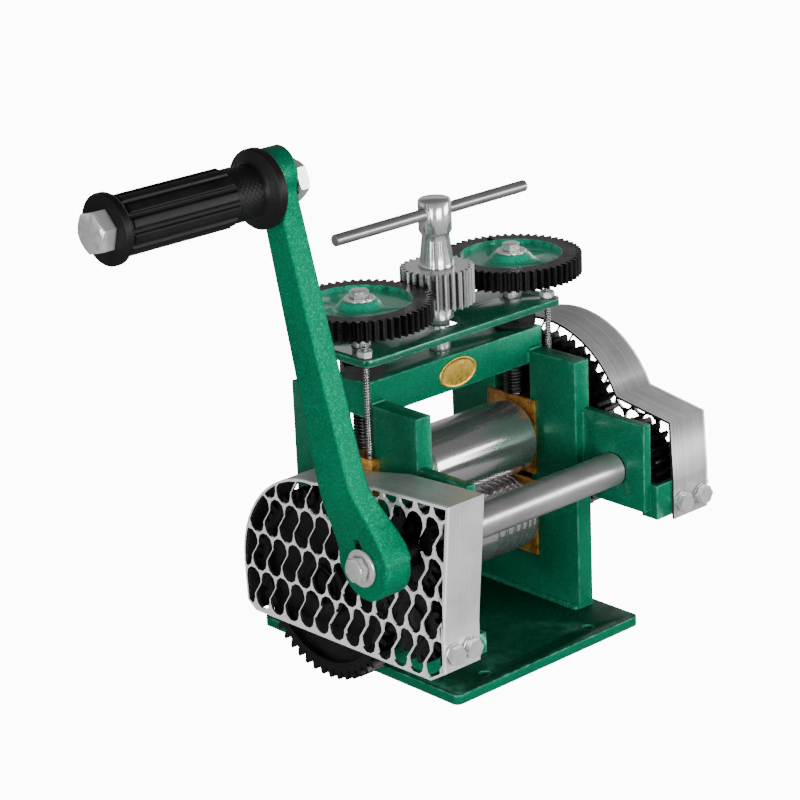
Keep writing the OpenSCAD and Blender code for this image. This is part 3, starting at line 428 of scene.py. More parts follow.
def placeMesh(name, mesh, material, body, replaced):
    # the object that shows a mesh: its finish, the body it rides and the nodes it stands in for
    mesh.materials.append(material)
    obj = showObject(name, mesh)
    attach(obj, body)
    if replaced:
        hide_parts(*replaced)
    return obj


def cleanMesh(mesh, copied):
    # join its loose points; then merge the flat faces of a copy, or turn the faces of a new surface outward
    work = bmesh.new()
    work.from_mesh(mesh)
    bmesh.ops.remove_doubles(work, verts=work.verts, dist=meshWork["weld"])
    if copied:
        flat = math.radians(meshWork["flat"])
        bmesh.ops.dissolve_limit(work, angle_limit=flat, verts=work.verts, edges=work.edges)
    else:
        bmesh.ops.recalc_face_normals(work, faces=work.faces)
    work.to_mesh(mesh)
    work.free()
    mesh.shade_smooth()


def putSurface(name, grids, material, body, replaced=None, sharpAngle=meshWork["sharp"]):
    # one piece from a list of point grids, each rows by columns by 3 in millimetres, closed across its columns
    points = np.concatenate([g.reshape(-1, 3) for g in grids]) * mm
    starts = np.cumsum([0] + [g.shape[0] * g.shape[1] for g in grids[:-1]])
    faces = np.concatenate([gridFaces(g.shape[0], g.shape[1]) + s for g, s in zip(grids, starts)])
    mesh = bpy.data.meshes.new(name)
    mesh.from_pydata(points.tolist(), [], faces.tolist())
    cleanMesh(mesh, False)
    mesh.set_sharp_from_angle(angle=math.radians(sharpAngle))
    mesh.update()
    return placeMesh(name, mesh, material, body, replaced)


def rodProfile(low, high, radius):
    return [(low, 0), (low, radius), (high, radius), (high, 0)]


def putRod(name, node, look, radius, place, material, body):
    # a round bar along X, from end to end of its node
    profile = softCorners(rodProfile(*spanOf(node, 0), radius), look["edge"])
    putSurface(name, [turnedGrid(profile, place, xAxis, look["segments"])], material, body, [node])


def softCorners(profile, radius, steps=4):
    # profile with each corner B between A and C rounded: (1-k)^2 P + 2k(1-k) B + k^2 Q, where P and Q lie a
    # distance t from B towards A and C
    p = np.array(profile, float)
    a, b, c = p[:-2], p[1:-1], p[2:]
    toA, toC = a - b, c - b
    la, lc = (np.linalg.norm(v, axis=1, keepdims=True) for v in (toA, toC))
    t = np.minimum(radius, 0.3 * np.minimum(la, lc))
    u, v = toA / la, toC / lc
    k = np.linspace(0, 1, steps + 1)[:, None, None]
    curve = (1 - k) ** 2 * (b + t * u) + 2 * k * (1 - k) * b + k ** 2 * (b + t * v)
    curve = np.concatenate([(b + 1.3 * t * u)[None], curve, (b + 1.3 * t * v)[None]])
    return np.concatenate([p[:1], curve.transpose(1, 0, 2).reshape(-1, 2), p[-1:]])


def turnedGrid(profile, origin, axis, segments):
    # surface of revolution of a profile, given as (distance along the axis, radius)
    p = np.array(profile, float)
    return spin(origin, axis, p[:, :1], p[:, 1:], circle(segments))


def washerGrid(start, end, outer, inner, edge, origin, axis, segments=96):
    # a ring: out along the outer wall and back along the inner one
    wall = [(start, inner), (start, outer), (end, outer), (end, inner), (start, inner)]
    return turnedGrid(softCorners(wall, edge, 3), origin, axis, segments)


hexShape = dict(face=0.465, coneFrom=0.47, cone=math.radians(30), segments=96)


def hexGrid(flats, height, origin, axis, turn, bore=0.0):
    # hexagon: r(q) = (flats / 2) / cos(q folded to +-30 degrees), cut by a cone of 30 degrees at the top of a
    # bolt's head, which has no bore, and at both ends of a nut
    q = circle(hexShape["segments"])
    full = flats / 2 / np.cos((q + np.pi / 6) % (np.pi / 3) - np.pi / 6)
    face = hexShape["face"] * flats
    drop = np.maximum(full - hexShape["coneFrom"] * flats, 0.0) * math.tan(hexShape["cone"])
    foot = [(0, bore), (0, face), (drop, full)] if bore else [(0, 0), (0, full), (0, full)]
    rings = foot + [(height - drop, full), (height, face), (height, bore)] + ([(0, bore)] if bore else [])
    s, r = (np.stack([np.broadcast_to(ring[k], q.shape) for ring in rings]) for k in (0, 1))
    return spin(origin, axis, s, r, q + math.radians(turn))


def threadGrid(settings, x, y):
    # screw thread round a vertical axis: r = R - d * (1 - f * w), where w rises and falls once a turn with
    # z / pitch - q / 2 pi and is cut flat at the crest, and f takes it down to the root within a pitch of each end
    low, high, pitch = settings["low"], settings["high"], settings["pitch"]
    z = np.arange(low, high + 1e-6, pitch / 8)
    q = circle(40)
    zz, qq = np.meshgrid(z, q, indexing="ij")
    wave = np.abs(((zz / pitch - qq / (2 * np.pi)) % 1.0) - 0.5) * 2
    fade = np.clip(np.minimum(zz - low, high - zz) / pitch, 0, 1)
    r = settings["radius"] - settings["depth"] * (1 - fade * np.clip(wave * 1.35, 0, 1))
    wall = np.stack([x + r * np.cos(qq), y + r * np.sin(qq), zz], -1)
    foot, top = (np.tile((x, y, end), (1, len(q), 1)) for end in (z[0], z[-1]))
    return np.concatenate([foot, wall, top])


def weldGrid(start, end, radius, ripple=2.4):
    # bead along a line: r(s) = R * (0.93 + 0.07 * |sin(pi s / ripple)|), the ripple wandering a little and the ends
    # closing in to nothing like a quarter of a circle
    start, end = np.array(start, float), np.array(end, float)
    length = np.linalg.norm(end - start)
    s = np.arange(0, length + 0.01, ripple / 6)
    near = np.clip(np.minimum(s, s[-1] - s) / radius, 0, 1)
    r = radius * np.sqrt(near * (2 - near))
    r = r * (0.93 + 0.07 * np.abs(np.sin(np.pi * s / ripple + 0.6 * np.sin(s * 0.9))))
    return turnedGrid(np.stack([s, r], -1), start, (end - start) / length, 20)


def dressNode(name, material, body, bevel):
    # a cleaned copy of a CAD node, with softened edges; leftSidePlate shows the node left_side_plate, and so on
    node = "".join("_" + letter.lower() if letter.isupper() else letter for letter in name)
    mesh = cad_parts[node].data.copy()
    mesh.name = name
    cleanMesh(mesh, True)
    mesh.materials.clear()
    obj = placeMesh(name, mesh, material, body, [node])
    if bevel:
        soften = obj.modifiers.new("softEdges", "BEVEL")
        soften.width, soften.segments = bevel * mm, meshWork["bevelSteps"]
        soften.limit_method, soften.angle_limit = "ANGLE", math.radians(meshWork["bevelFrom"])
        soften.harden_normals = True
    else:
        mesh.set_sharp_from_angle(angle=math.radians(meshWork["sharp"]))
    return obj


def readTable(rows, key, wide=3, kind=float):
    # one property of every point, face or corner of a mesh, as rows of numbers
    table = np.empty(len(rows) * wide, kind)
    rows.foreach_get(key, table)
    return table.reshape(-1, wide) if wide > 1 else table


def addFinish(piece, material, chosen):
    # a second material on the chosen faces of a piece
    piece.data.materials.append(material)
    piece.data.polygons.foreach_set("material_index", chosen.astype(np.int32))


# base, side plates, beam, brackets, guard tabs and lift plate, each with the width of its softened edges

plateEdges = dict(
    basePlate=0.9, leftSidePlate=0.8, rightSidePlate=0.8, topBeam=0.9, leftBracket=0.7, rightBracket=0.7,
    leftGuardTab=0.5, rightGuardTab=0.5)
dressed = {}
for pieceName, width in plateEdges.items():
    dressed[pieceName] = dressNode(pieceName, greenPaint, "frame", width)
dressNode("liftPlate", liftPaint, "carriage", 0.6)
# painted shade: the base plate's upward faces get the darker paint
facingUp = readTable(dressed["basePlate"].data.polygons, "normal")[:, 2] > 0.9
addFinish(dressed["basePlate"], baseTopShadePaint, facingUp)
print("stage: plates dressed")


# weld beads

footWeld = dict(radius=2.7, inner=58.0, outer=70.0, z=6.2, y=52.0)
jointWeld = dict(
    radius=1.7, inner=58.0, outer=69.5, beamFront=14.5, beamLow=155.5, sideTop=163.5, bracketX=64.0,
    bracketFront=-53.0, bracketLow={-1: 35.0, 1: 81.0}, bracketTop=133.0)


def makeWelds():
    # beads along the feet of the side plates, round the beam's ends and down the brackets
    w = footWeld
    feet = [weldGrid((s * x, -w["y"], w["z"]), (s * x, w["y"], w["z"]), w["radius"])
            for s in (-1, 1) for x in (w["inner"], w["outer"])]
    putSurface("footWelds", feet, greenPaint, "frame", ["foot_welds"])
    w, ends = jointWeld, []
    for s in (-1, 1):
        for y in (-w["beamFront"], w["beamFront"]):
            corner = (s * w["inner"], y, w["sideTop"])
            ends += [((s * w["inner"], y, w["beamLow"]), corner), (corner, (s * w["outer"], y, w["sideTop"]))]
        x, y = s * w["bracketX"], w["bracketFront"]
        ends.append(((x, y, w["bracketLow"][s]), (x, y, w["bracketTop"])))
    beads = [weldGrid(start, end, w["radius"]) for start, end in ends]
    putSurface("jointWelds", beads, greenPaint, "frame")


makeWelds()
print("stage: welds made")


# rolls: the profile is the CAD one, with more points in the grooves

rollShape = dict(
    radius=23.0, face=55.0, neck=12.5, seat=11.0, land=0.3, edge=0.35,
    vees=dict(width=6.2, step=0.88, count=6, start=-25.0),
    rounds=dict(width=7.2, step=0.86, count=6, start=20.7, deep=0.6), lowAxis=58.0, upAxis=107.0, lowSeat=-88.0,
    upSeat=83.0)


def grooveStarts(row):
    # each groove is a fixed share of the width of the one before it, and a land lies between them
    widths = row["width"] * row["step"] ** np.arange(row["count"])
    return widths, np.concatenate([[0], np.cumsum(widths + rollShape["land"])[:-1]])


def rollProfile(withRounds):
    # the face of a roll: vee grooves half as deep as wide, and round ones r - deep * h * sin(a), h being half a width
    r, face, rounds = rollShape["radius"], rollShape["face"], rollShape["rounds"]
    widths, starts = grooveStarts(rollShape["vees"])
    high = rollShape["vees"]["start"] - starts
    vees = np.stack([np.stack([high - widths, high - widths / 2, high], -1),
                     np.stack([r + 0 * widths, r - widths / 2, r + 0 * widths], -1)], -1)[::-1].reshape(-1, 2)
    parts = [[(-face, r)], vees]
    if withRounds:
        widths, starts = grooveStarts(rounds)
        a = np.linspace(np.pi, 0, 13)
        middle = (rounds["start"] + starts + widths / 2)[:, None]
        half = widths[:, None] / 2
        parts.append(np.stack([middle + half * np.cos(a), r - rounds["deep"] * half * np.sin(a)], -1).reshape(-1, 2))
    return np.concatenate(parts + [[(face, r)]])


def makeRoll(name, node, body, z, withRounds, seatAt):
    # necks on both sides of the face, and a thinner seat for the gear past seatAt
    n, s, e = rollShape["neck"], rollShape["seat"], rollShape["face"]
    low, high = spanOf(node, 0)
    left = [(low, 0), (low, s), (seatAt, s), (seatAt, n)] if seatAt < 0 else [(low, 0), (low, n)]
    right = [(seatAt, n), (seatAt, s), (high, s), (high, 0)] if seatAt > 0 else [(high, n), (high, 0)]
    line = np.concatenate([left, [(-e, n)], rollProfile(withRounds), [(e, n)], right])
    grid = turnedGrid(softCorners(line, rollShape["edge"], 2), (0, 0, z), xAxis, 160)
    putSurface(name, [grid], rollSteel, body, [node], 50)


makeRoll("lowerRoll", "lower_roll", "bottom_roll", rollShape["lowAxis"], True, rollShape["lowSeat"])
makeRoll("upperRoll", "upper_roll", "top_roll", rollShape["upAxis"], False, rollShape["upSeat"])
print("stage: rolls made")


# crankshaft and crank arm: rounded rectangle sections carried from the hub to the eye

shaft = dict(radius=10.0, y=-77.0, z=102.0, edge=0.5, segments=128)
putRod("crankShaft", "crankshaft", shaft, shaft["radius"], (0, shaft["y"], shaft["z"]), shaftSteel, "crank")
arm = dict(
    length=213.0, past=6.3, lean=15.35, hubRadius=19.5, eyeRadius=14.0, lowHalf=14.0, highHalf=9.0, lowAt=46.8,
    hubFace=135.0, hubLength=19.0, outerAt=(11.7, 17.5, 37.4, 46.8, 205.0), outerStep=(0.0, 1.5, 6.5, 8.0, 6.0),
    innerAt=(10.7, 18.5, 37.4, 46.8, 205.0), innerStep=(-19.0, -16.0, -8.0, -6.0, -8.0), edge=3.0, bend=0.11,
    lowFan=12.0, highFan=9.0, join=10, smooth=11, segments=96, keyHalf=3.0, keyLow=8.0, keyHigh=16.0, keyPast=4.0)


def leanBack(points):
    # turn about the shaft's axis, then move out to it: y' = y cos(a) + z sin(a), z' = z cos(a) - y sin(a)
    a = math.radians(arm["lean"])
    x, y, z = points[..., 0], points[..., 1], points[..., 2]
    c, s = math.cos(a), math.sin(a)
    return np.stack([x, shaft["y"] + y * c + z * s, shaft["z"] - y * s + z * c], -1)


def makeArm():
    # half width w(z): hub circle, taper and eye circle, joined by the tenth root of the sum of their tenth powers;
    # the faces follow their steps from the hub's face, smoothed; section: a circle of radius c moved out by
    # (w - c) tanh(sin q / bend) and (t - c) tanh(cos q / bend), t being half the thickness
    top = arm["length"] + arm["past"]
    low, high = -arm["hubRadius"], top + arm["eyeRadius"]
    fan = 1 - np.cos(np.linspace(0, np.pi, 61) / 2)
    even = np.linspace(low + arm["lowFan"], high - arm["highFan"], 120)
    z = np.unique(np.concatenate([low + arm["lowFan"] * fan, even, high - arm["highFan"] * fan]))
    hub = np.sqrt(np.clip(arm["hubRadius"] ** 2 - z ** 2, 0, None))
    eye = np.sqrt(np.clip(arm["eyeRadius"] ** 2 - (z - top) ** 2, 0, None))
    taper = np.interp(z, [0, arm["lowAt"], top], [arm["hubRadius"], arm["lowHalf"], arm["highHalf"]])
    taper = np.where((z > 0) & (z < top), taper, 0)
    w = ((np.stack([hub, eye, taper]) ** arm["join"]).sum(0) ** (1 / arm["join"]))[:, None]
    kernel = np.hanning(arm["smooth"]) / np.hanning(arm["smooth"]).sum()
    steps = (arm["hubFace"] + np.interp(z, arm[side + "At"], arm[side + "Step"]) for side in ("outer", "inner"))
    outer, inner = (np.convolve(np.pad(v, len(kernel) // 2, mode="edge"), kernel, "valid")[:, None] for v in steps)
    q = circle(arm["segments"])[None]
    corner = np.minimum(arm["edge"], np.maximum(w, 0.01))
    flatY, flatX = np.maximum(w - corner, 0), np.maximum((outer - inner) / 2 - corner, 0)
    x = -(outer + inner) / 2 + flatX * np.tanh(np.cos(q) / arm["bend"]) + corner * np.cos(q)
    y = flatY * np.tanh(np.sin(q) / arm["bend"]) + corner * np.sin(q) * np.minimum(1, w / corner)
    grid = np.stack([x, y, np.broadcast_to(z[:, None], x.shape)], -1)
    ends = [np.repeat(g.mean(0)[None, None], arm["segments"], 1) for g in (grid[0], grid[-1])]
    grid = leanBack(np.concatenate([ends[0], grid, ends[1]]))
    cutKeyway(putSurface("crankArm", [grid], greenCasting, "crank", ["crank_arm"], 60))


def cutKeyway(piece):
    # a straight slot through the hub above the shaft, cut with a box leant back like the arm
    xs = (-arm["hubFace"] - arm["keyPast"], -arm["hubFace"] + arm["hubLength"] + arm["keyPast"])
    ys, zs = (-arm["keyHalf"], arm["keyHalf"]), (arm["keyLow"], arm["keyHigh"])
    corners = leanBack(np.array([(x, y, z) for x in xs for y in ys for z in zs], float)) * mm
    quads = [(0, 1, 3, 2), (4, 6, 7, 5), (0, 4, 5, 1), (2, 3, 7, 6), (0, 2, 6, 4), (1, 5, 7, 3)]
    box = bpy.data.meshes.new("keywayBox")
    box.from_pydata(corners.tolist(), [], quads)
    cutter = showObject("keywayBox", box)
    cut = piece.modifiers.new("keyway", "BOOLEAN")
    cut.object, cut.operation, cut.solver = cutter, "DIFFERENCE", "EXACT"
    graph = bpy.context.evaluated_depsgraph_get()
    done = bpy.data.meshes.new_from_object(piece.evaluated_get(graph))
    piece.modifiers.clear()
    piece.data = done
    done.name = "crankArm"
    done.set_sharp_from_angle(angle=math.radians(50))
    bpy.data.objects.remove(cutter)


makeArm()
print("stage: crank arm made")


# grip: flanges, ribs and a pebbled waist; the profile is distance from the outer end and radius

grip = dict(
    outer=248.5, waist=14.75, edge=1.5, segments=240,
    profile=((0, 7.05), (0, 19.25), (4.6, 19.25), (6.4, 14.75), (96.5, 14.75), (98.5, 19.05), (99.8, 22.05),
             (105.0, 22.05), (105.0, 7.05)),
    fineFrom=8.0, fineTo=95.0, ribRadius=16.25, ribs=12, ribFrom=7.5, ribTo=78.0, ribEnd=1.2, pebble=0.22,
    spacing=1.55, pebbleFrom=79.0, pebbleTo=94.5, pebbleEnd=0.8, ribShift=0.72, ribSlope=0.5, pebblePower=0.6)


def makeGrip():
    # r(s, q) = base(s) + rib(q) * body(s) + pebble(s, q); s runs from the outer end to the crank
    g = grip
    key = softCorners(g["profile"], g["edge"], 5)
    middle = np.linspace(g["fineFrom"], g["fineTo"], 330)
    fine = np.stack([middle, np.interp(middle, key[:, 0], key[:, 1])], -1)
    profile = np.concatenate([key[key[:, 0] < g["fineFrom"] - 0.5], fine, key[key[:, 0] > g["fineTo"] + 0.5]])
    s, base = profile[:, :1], profile[:, 1:]
    q = circle(g["segments"])[None]
    along = np.clip(np.minimum(s - g["ribFrom"], g["ribTo"] - s) / g["ribEnd"], 0, 1)
    wave = np.clip((np.cos(q * g["ribs"]) + g["ribShift"]) / g["ribSlope"], 0, 1)
    ribs = (g["ribRadius"] - g["waist"]) * along * wave
    turns = np.round(2 * np.pi * g["waist"] / g["spacing"])
    bumpy = np.clip(np.cos(q * turns / 2) * np.cos(np.pi * s / g["spacing"]), 0, 1) ** g["pebblePower"]
    pebbled = np.clip(np.minimum(s - g["pebbleFrom"], g["pebbleTo"] - s) / g["pebbleEnd"], 0, 1)
    r = base + ribs + g["pebble"] * bumpy * pebbled
    grid = np.stack([-g["outer"] + s + 0 * q, r * np.cos(q), arm["length"] + r * np.sin(q)], -1)
    grid = leanBack(np.concatenate([grid, grid[:1]]))
    putSurface("gripSleeve", [grid], gripRubber, "grip_sleeve", ["grip"], 60)


makeGrip()
print("stage: grip made")


# screws, rods and their threads

levels = dict(beamTop=176.2, plateTop=193.5, screwTop=221.0)
pressureScrew = dict(radius=7.0, depth=0.85, pitch=2.0, low=133.3, high=189.2, stem=5.4, edge=0.2)
liftRod = dict(
    radius=1.95, depth=0.75, pitch=1.6, low=134.0, high=200.9, plain=1.9, overlap=0.3,
    corners=[(sx * 73.05, sy * 16.8) for sx in (-1, 1) for sy in (-1, 1)])
sides = ((-1, "left"), (1, "right"))


def makeScrews():
    # a thread below and a plain stem above, which is bare steel over the lift plate; four rods with plain feet
    p, overlap = pressureScrew, liftRod["overlap"]
    for side, label in sides:
        x = side * gearPlace["x"]
        line = rodProfile(p["high"] - overlap, levels["screwTop"], p["stem"])
        line.insert(2, (levels["plateTop"], p["stem"]))
        stem = turnedGrid(softCorners(line, p["edge"]), (x, 0, 0), zAxis, 64)
        piece = putSurface(label + "PressureScrew", [threadGrid(p, x, 0), stem], threadSteel, label + "_spindle",
                           [label + "_screw"])
        addFinish(piece, barSteel, readTable(piece.data.polygons, "center")[:, 2] > levels["plateTop"] * mm)
    foot = rodProfile(spanOf("lift_rods", 2)[0], liftRod["low"] + overlap, liftRod["plain"])
    grids = [threadGrid(liftRod, x, y) for x, y in liftRod["corners"]]
    grids += [turnedGrid(foot, (x, y, 0), zAxis, 32) for x, y in liftRod["corners"]]
    putSurface("liftRods", grids, rodSteel, "carriage", ["lift_rods"])


makeScrews()
print("stage: screws and rods made")


# nuts, bolts and washers: flats is the width across a hexagon, high its height, and the rest are radii

beamNut = dict(flats=24.0, high=9.5, bore=7.05, turn=30)
rodNut = dict(flats=8.0, high=4.0, bore=2.3, turn=10)
gearBolt = dict(flats=10.0, high=4.2, turn=8, shank=3.0, washer=9.0, washerEdge=0.5)
hubBolt = dict(flats=13.0, high=5.4, turn=12, shank=4.0, washer=10.8, thick=2.0, washerEdge=0.6)
gripBolt = dict(flats=21.0, high=8.8, nutHigh=8.0, turn=15, shank=7.0, edge=0.8, washer=13.0, washerEdge=0.4)


def putZinc(name, grids, body, node, sharpAngle=meshWork["hexSharp"]):
    putSurface(name, grids, zincPlate, body, [node], sharpAngle)


def makeFasteners():
    n = beamNut
    nuts = [hexGrid(n["flats"], n["high"], (s * gearPlace["x"], 0, levels["beamTop"]), zAxis, n["turn"], n["bore"])
            for s, _ in sides]
    putSurface("beamNuts", nuts, blackenedSteel, "frame", ["screw_nuts"], meshWork["hexSharp"])
    n = rodNut
    nuts = [hexGrid(n["flats"], n["high"], (x, y, levels["plateTop"]), zAxis, math.copysign(n["turn"], x * y),
                    n["bore"]) for x, y in liftRod["corners"]]
    putZinc("rodNuts", nuts, "carriage", "rod_nuts")
    b = gearBolt
    for s, label in sides:
        x = s * gearPlace["x"]
        low, high = (z + gearPlace["lift"] for z in spanOf(label + "_gear_washer", 2))
        ring = washerGrid(low, high, b["washer"], b["shank"], b["washerEdge"], (x, 0, 0), zAxis, 80)
        putZinc(label + "GearWasher", [ring], label + "_spindle", label + "_gear_washer", meshWork["sharp"])
        head = hexGrid(b["flats"], b["high"], (x, 0, high), zAxis, b["turn"] * s)
        foot = spanOf(label + "_gear_bolt", 2)[0] + gearPlace["lift"]
        shank = turnedGrid(rodProfile(foot, high, b["shank"]), (x, 0, 0), zAxis, 32)
        putZinc(label + "GearBolt", [head, shank], label + "_spindle", label + "_gear_bolt")


def makeCrankBolts():
    # the hub's bolt looks out along -X; the grip's bolt, nut and washer lie round the arm's eye
    b, outward, hub = hubBolt, (-1, 0, 0), (shaft["y"], shaft["z"])
    seat = -arm["hubFace"] - b["thick"]
    ring = washerGrid(-b["thick"], 0.0, b["washer"], b["shank"], b["washerEdge"], (seat, *hub), outward)
    putZinc("crankWasher", [ring], "crank", "crank_washer", meshWork["sharp"])
    head = hexGrid(b["flats"], b["high"], (seat, *hub), outward, b["turn"])
    shank = rodProfile(0, spanOf("crank_bolt", 0)[1] - seat, b["shank"])
    putZinc("crankBolt", [head, turnedGrid(shank, (seat, *hub), xAxis, 32)], "crank", "crank_bolt")
    b, eye = gripBolt, leanBack(np.array([0.0, 0.0, arm["length"]]))[1:]
    low, high = spanOf("grip_bolt", 0)
    seat = low + b["high"]
    head = hexGrid(b["flats"], b["high"], (seat, *eye), outward, b["turn"])
    shank = softCorners(rodProfile(0, high - seat, b["shank"]), b["edge"])
    putZinc("gripBolt", [head, turnedGrid(shank, (seat, *eye), xAxis, 48)], "crank", "grip_bolt")
    nut = hexGrid(b["flats"], b["nutHigh"], (spanOf("grip_nut", 0)[0], *eye), xAxis, b["turn"], b["shank"])
    putZinc("gripNut", [nut], "crank", "grip_nut")
    ring = washerGrid(*spanOf("grip_washer", 0), b["washer"], b["shank"], b["washerEdge"], (0, *eye), xAxis)
    putZinc("gripWasher", [ring], "crank", "grip_washer", meshWork["sharp"])


makeFasteners()
makeCrankBolts()
print("stage: fasteners made")


# badge: bare oval plate with a raised rim and a low dome; at is 0 in the middle and 1 at the edge

badge = dict(
    halfLong=15.0, halfHigh=9.0, face=-14.5, segments=128,
    at=(0, 0.2, 0.4, 0.6, 0.74, 0.80, 0.84, 0.87, 0.90, 0.94, 0.97, 0.99, 1.0, 1.0, 0.0),
    height=(0.72, 0.71, 0.68, 0.62, 0.56, 0.54, 0.55, 0.66, 0.76, 0.79, 0.76, 0.66, 0.5, 0.0, 0.0))


def makeBadge():
    # an oval of half axes p * halfLong and p * halfHigh at each height over the beam's face, for p in at
    p, h = (np.array(badge[key])[:, None] for key in ("at", "height"))
    q = circle(badge["segments"])[None]
    x = badge["halfLong"] * p * np.cos(q)
    z = sum(spanOf("badge", 2)) / 2 + badge["halfHigh"] * p * np.sin(q)
    grid = np.stack([x, badge["face"] - h + 0 * q, z], -1)
    putSurface("badgePlate", [grid], badgeBrass, "frame", ["badge"], 50)


makeBadge()


# the nodes whose shape is right keep it, with joined copies, and softened ones where an edge shows

keptShapes = (
    (milledBronze, "frame", "bronze", 0.4, "leftLowerBlock", "rightLowerBlock"),
    (milledBronze, "carriage", "bronze", 0.4, "leftUpperBlock", "rightUpperBlock"),
    (guardSteel, "frame", "guard_sheet", 0.0, "leftGuardRim"),
    (shadedFarGuardSteel, "frame", "guard_sheet", 0.0, "rightGuardRim"),
    (litPunchedSteel, "frame", "guard_sheet", 0.0, "leftGuardFace", "rightGuardFace"),
    (blackenedSteel, "frame", "turned_steel", 0.0, "idlerStud"),
    (blackenedSteel, "crank", "black_gears", 0.0, "leftPinion", "rightPinion"),
    (blackenedSteel, "idler", "black_gears", 0.0, "idlerGear"),
    (blackenedSteel, "bottom_roll", "black_gears", 0.0, "lowerRollGear"),
    (blackenedSteel, "top_roll", "black_gears", 0.0, "upperRollGear"),
    (leftGearFinish, "left_spindle", "adjusting_gears", 0.0, "leftAdjustGear"),
    (rightGearFinish, "right_spindle", "adjusting_gears", 0.0, "rightAdjustGear"),
    (handleChrome, "adjuster", "chrome", 0.0, "centrePinion"),
    (zincPlate, "frame", "zinc_bolts", 0.0, "guardBolts"),
)
for finish, bodyName, slotName, width, *pieceNames in keptShapes:
    for pieceName in pieceNames:
        dressed[pieceName] = dressNode(pieceName, finish, bodyName, width)


def changeHeights(piece, before, after):
    # move every point up or down: its height goes from the list before to the list after, straight between them
    places = readTable(piece.data.vertices, "co")
    places[:, 2] = np.interp(places[:, 2] / mm, before, after) * mm
    piece.data.vertices.foreach_set("co", places.ravel())
    piece.data.update()


# the photo has the adjusting gears, the pinion's foot and the T handle's bar a little higher, and its head lower
pinionHeights = dict(
    before=(0.0, 196.0, 202.0, 227.0, 248.0, 254.75, 261.75, 267.5, 268.5),
    after=(0.0, 196.0, 205.0, 227.0, 248.0, 255.75, 262.75, 266.2, 267.2))
overAll = 300.0
for pieceName in ("leftAdjustGear", "rightAdjustGear"):
    changeHeights(dressed[pieceName], (0.0, overAll), (gearPlace["lift"], overAll + gearPlace["lift"]))
changeHeights(dressed["centrePinion"], pinionHeights["before"], pinionHeights["after"])


def shadeInside(piece, innerSide):
    # painted shade: near-black on the faces that look into a guard: those turned towards the middle of its strip, and
    # those on the gear side of its punched face, where innerSide is +1 or -1 along X
    centres, normals = (readTable(piece.data.polygons, key) for key in ("center", "normal"))
    toMiddle = (centres.min(0) + centres.max(0)) / 2 - centres
    inward = (normals[:, 1:] * toMiddle[:, 1:]).sum(1) > 0.004
    addFinish(piece, guardInsideShade, inward | (normals[:, 0] * innerSide > 0.9))


labelPasses = 400


def widenHoles(piece, reach):
    # thin the webs of a punched face: every point on a hole's wall moves into the metal along the mean normal of the
    # wall faces round it. The points of a wall get one label, the lowest number among them; the wall with the point
    # lowest along Y is the outline of the face, and stays where it is
    mesh = piece.data
    places, normals = readTable(mesh.vertices, "co"), readTable(mesh.polygons, "normal")
    corner = readTable(mesh.loops, "vertex_index", 1, np.int32)
    starts, totals = (readTable(mesh.polygons, key, 1, np.int32) for key in ("loop_start", "loop_total"))
    owner = np.repeat(np.arange(len(starts)), totals)
    following = np.arange(len(corner)) + 1
    following[starts + totals - 1] = starts
    onWall = np.abs(normals[owner, 0]) < 0.5
    a, b = corner[onWall], corner[following[onWall]]
    push = np.zeros(places.shape)
    np.add.at(push, a, normals[owner[onWall]])
    length = np.linalg.norm(push, axis=1, keepdims=True)
    push = np.where(length > 1e-6, push / np.maximum(length, 1e-6), 0)
    label = np.arange(len(places))
    for _ in range(labelPasses):
        np.minimum.at(label, a, label[b])
        np.minimum.at(label, b, label[a])
    outline = label[np.argmin(places[:, 1])]
    places -= push * (label != outline)[:, None] * reach * mm
    mesh.vertices.foreach_set("co", places.ravel())
    mesh.update()


for side, innerSide in (("left", 1), ("right", -1)):
    widenHoles(dressed[side + "GuardFace"], reach=0.55)
    for part in ("GuardFace", "GuardRim"):
        shadeInside(dressed[side + part], innerSide)

bar = dict(lift=1.0, edge=0.9, segments=64)
barLow, barHigh = spanOf("tommy_bar", 2)
putRod("crossBar", "tommy_bar", bar, (barHigh - barLow) / 2, (0, 0, (barLow + barHigh) / 2 + bar["lift"]), barSteel,
       "adjuster")

plainNodes = ((milledBronze, "lower_washers", "upper_washers"), (shaftSteel, "pinion_keys", "crank_key"),
              (blackenedSteel, "lower_gear_key", "upper_gear_key", "lower_gear_ring", "upper_gear_ring"))
for finish, *nodeNames in plainNodes:
    for nodeName in nodeNames:
        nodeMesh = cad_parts[nodeName].data
        nodeMesh.materials.clear()
        nodeMesh.materials.append(finish)
print("stage: CAD nodes dressed")


# floor and lights

studio = dict(
    floorSize=12.0, floorDrop=0.0005, floor=grey(0.55), floorMottle=grey(0.60), floorGlow=12.0, world=1.0,
    horizon=0.85, middle=0.50, high=0.16, zenith=0.14, farSide=0.80)


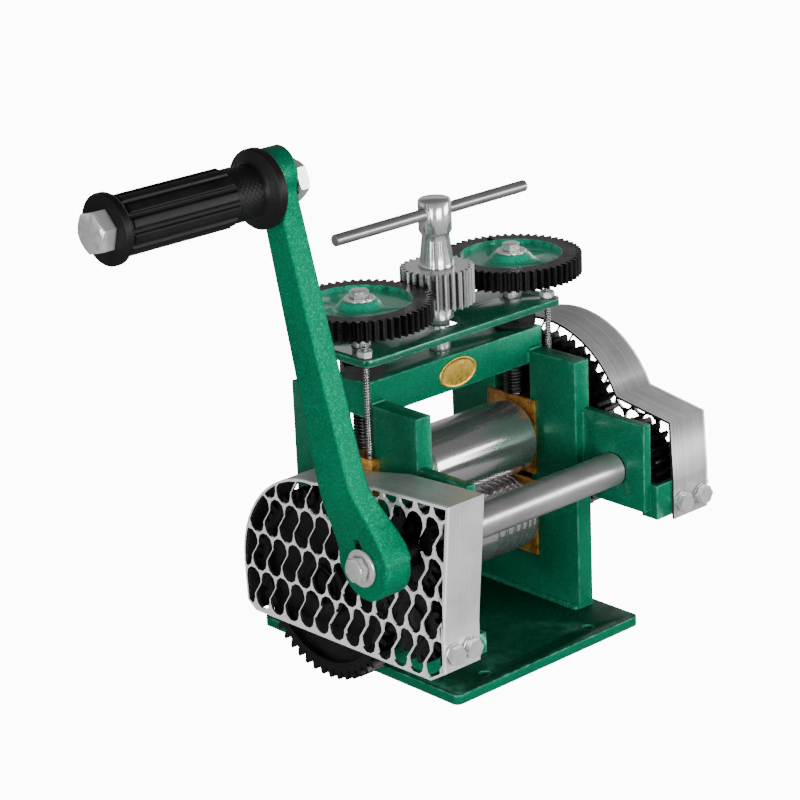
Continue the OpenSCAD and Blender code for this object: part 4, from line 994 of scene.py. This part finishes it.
def makeStudio():
    # a white sweep that looks bright to the camera and only lights the mill as a pale floor does
    bpy.ops.mesh.primitive_plane_add(size=studio["floorSize"], location=(0, 0, -studio["floorDrop"]))
    floor = bpy.context.object
    floor.name = "floor"
    material, tree, principled, place = startMaterial("paleFloor", {"Roughness": 0.7, "Specular IOR Level": 0.1})
    mottle = useGroup(tree, smudges, place, 6.0, 0.5)
    seen = addNode(tree, "LightPath").outputs["Is Camera Ray"]
    fillInputs(tree, principled, {
        "Base Color": blendColours(tree, mottle["Patch"], studio["floor"], studio["floorMottle"]),
        "Emission Color": grey(1), "Emission Strength": calculate(tree, "MULTIPLY", seen, studio["floorGlow"])})
    floor.data.materials.append(material)
    world = bpy.data.worlds.new("studioWorld")
    bpy.context.scene.world = world
    world.use_nodes = True
    tree = world.node_tree
    direction = addNode(tree, "TexCoord").outputs["Generated"]
    height = addNode(tree, "SeparateXYZ", {0: direction}).outputs[2]
    shade = addNode(tree, "ValToRGB", {0: height})
    shade.color_ramp.elements[0].color = grey(studio["horizon"])
    shade.color_ramp.elements[1].color = grey(studio["zenith"])
    shade.color_ramp.elements[1].position = 0.8
    for at, level in ((0.30, "middle"), (0.50, "high")):
        shade.color_ramp.elements.new(at).color = grey(studio[level])
    # the far side of the studio is dark, so flat tops don't mirror it as a haze
    azimuth = math.radians(viewpoint["azimuth"])
    towards = addNode(tree, "VectorMath", {0: direction, 1: (math.sin(azimuth), -math.cos(azimuth), 0.0)},
                      operation="DOT_PRODUCT").outputs["Value"]
    near = remap(tree, towards, -0.35, 0.25, studio["farSide"], 1.0)
    dimmed = addNode(tree, "VectorMath", {0: shade.outputs[0], "Scale": near}, operation="SCALE").outputs[0]
    # the camera sees the sky as bright as the floor, and only the mill's surfaces see it shaded
    seen = addNode(tree, "LightPath").outputs["Is Camera Ray"]
    sky = blendColours(tree, seen, dimmed, grey(studio["floorGlow"]))
    fillInputs(tree, tree.nodes["Background"], {0: sky, 1: studio["world"]})


lamps = dict(
    frontSoftbox=dict(place=(-0.45, -1.75, 0.36), size=(1.0, 0.7), power=24.5),
    rightSoftbox=dict(place=(1.25, -1.45, 0.42), size=(1.1, 0.55), power=17.5),
    crankSoftbox=dict(place=(-1.80, -0.60, 0.36), size=(0.9, 0.7), power=18.5),
    farSide=dict(place=(1.5, 0.5, 0.45), size=(0.7, 0.7), power=4.0))
lampAim = (0, 0, 0.14)


def makeLamps():
    for name, lamp in lamps.items():
        data = bpy.data.lights.new(name, "AREA")
        data.shape = "RECTANGLE"
        data.size, data.size_y = lamp["size"]
        data.energy = lamp["power"]
        obj = showObject(name, data)
        aim = Vector(lampAim) - Vector(lamp["place"])
        obj.matrix_world = Matrix.Translation(lamp["place"]) @ aim.to_track_quat("-Z", "Y").to_matrix().to_4x4()


makeStudio()
makeLamps()
print("stage: floor and lights made")
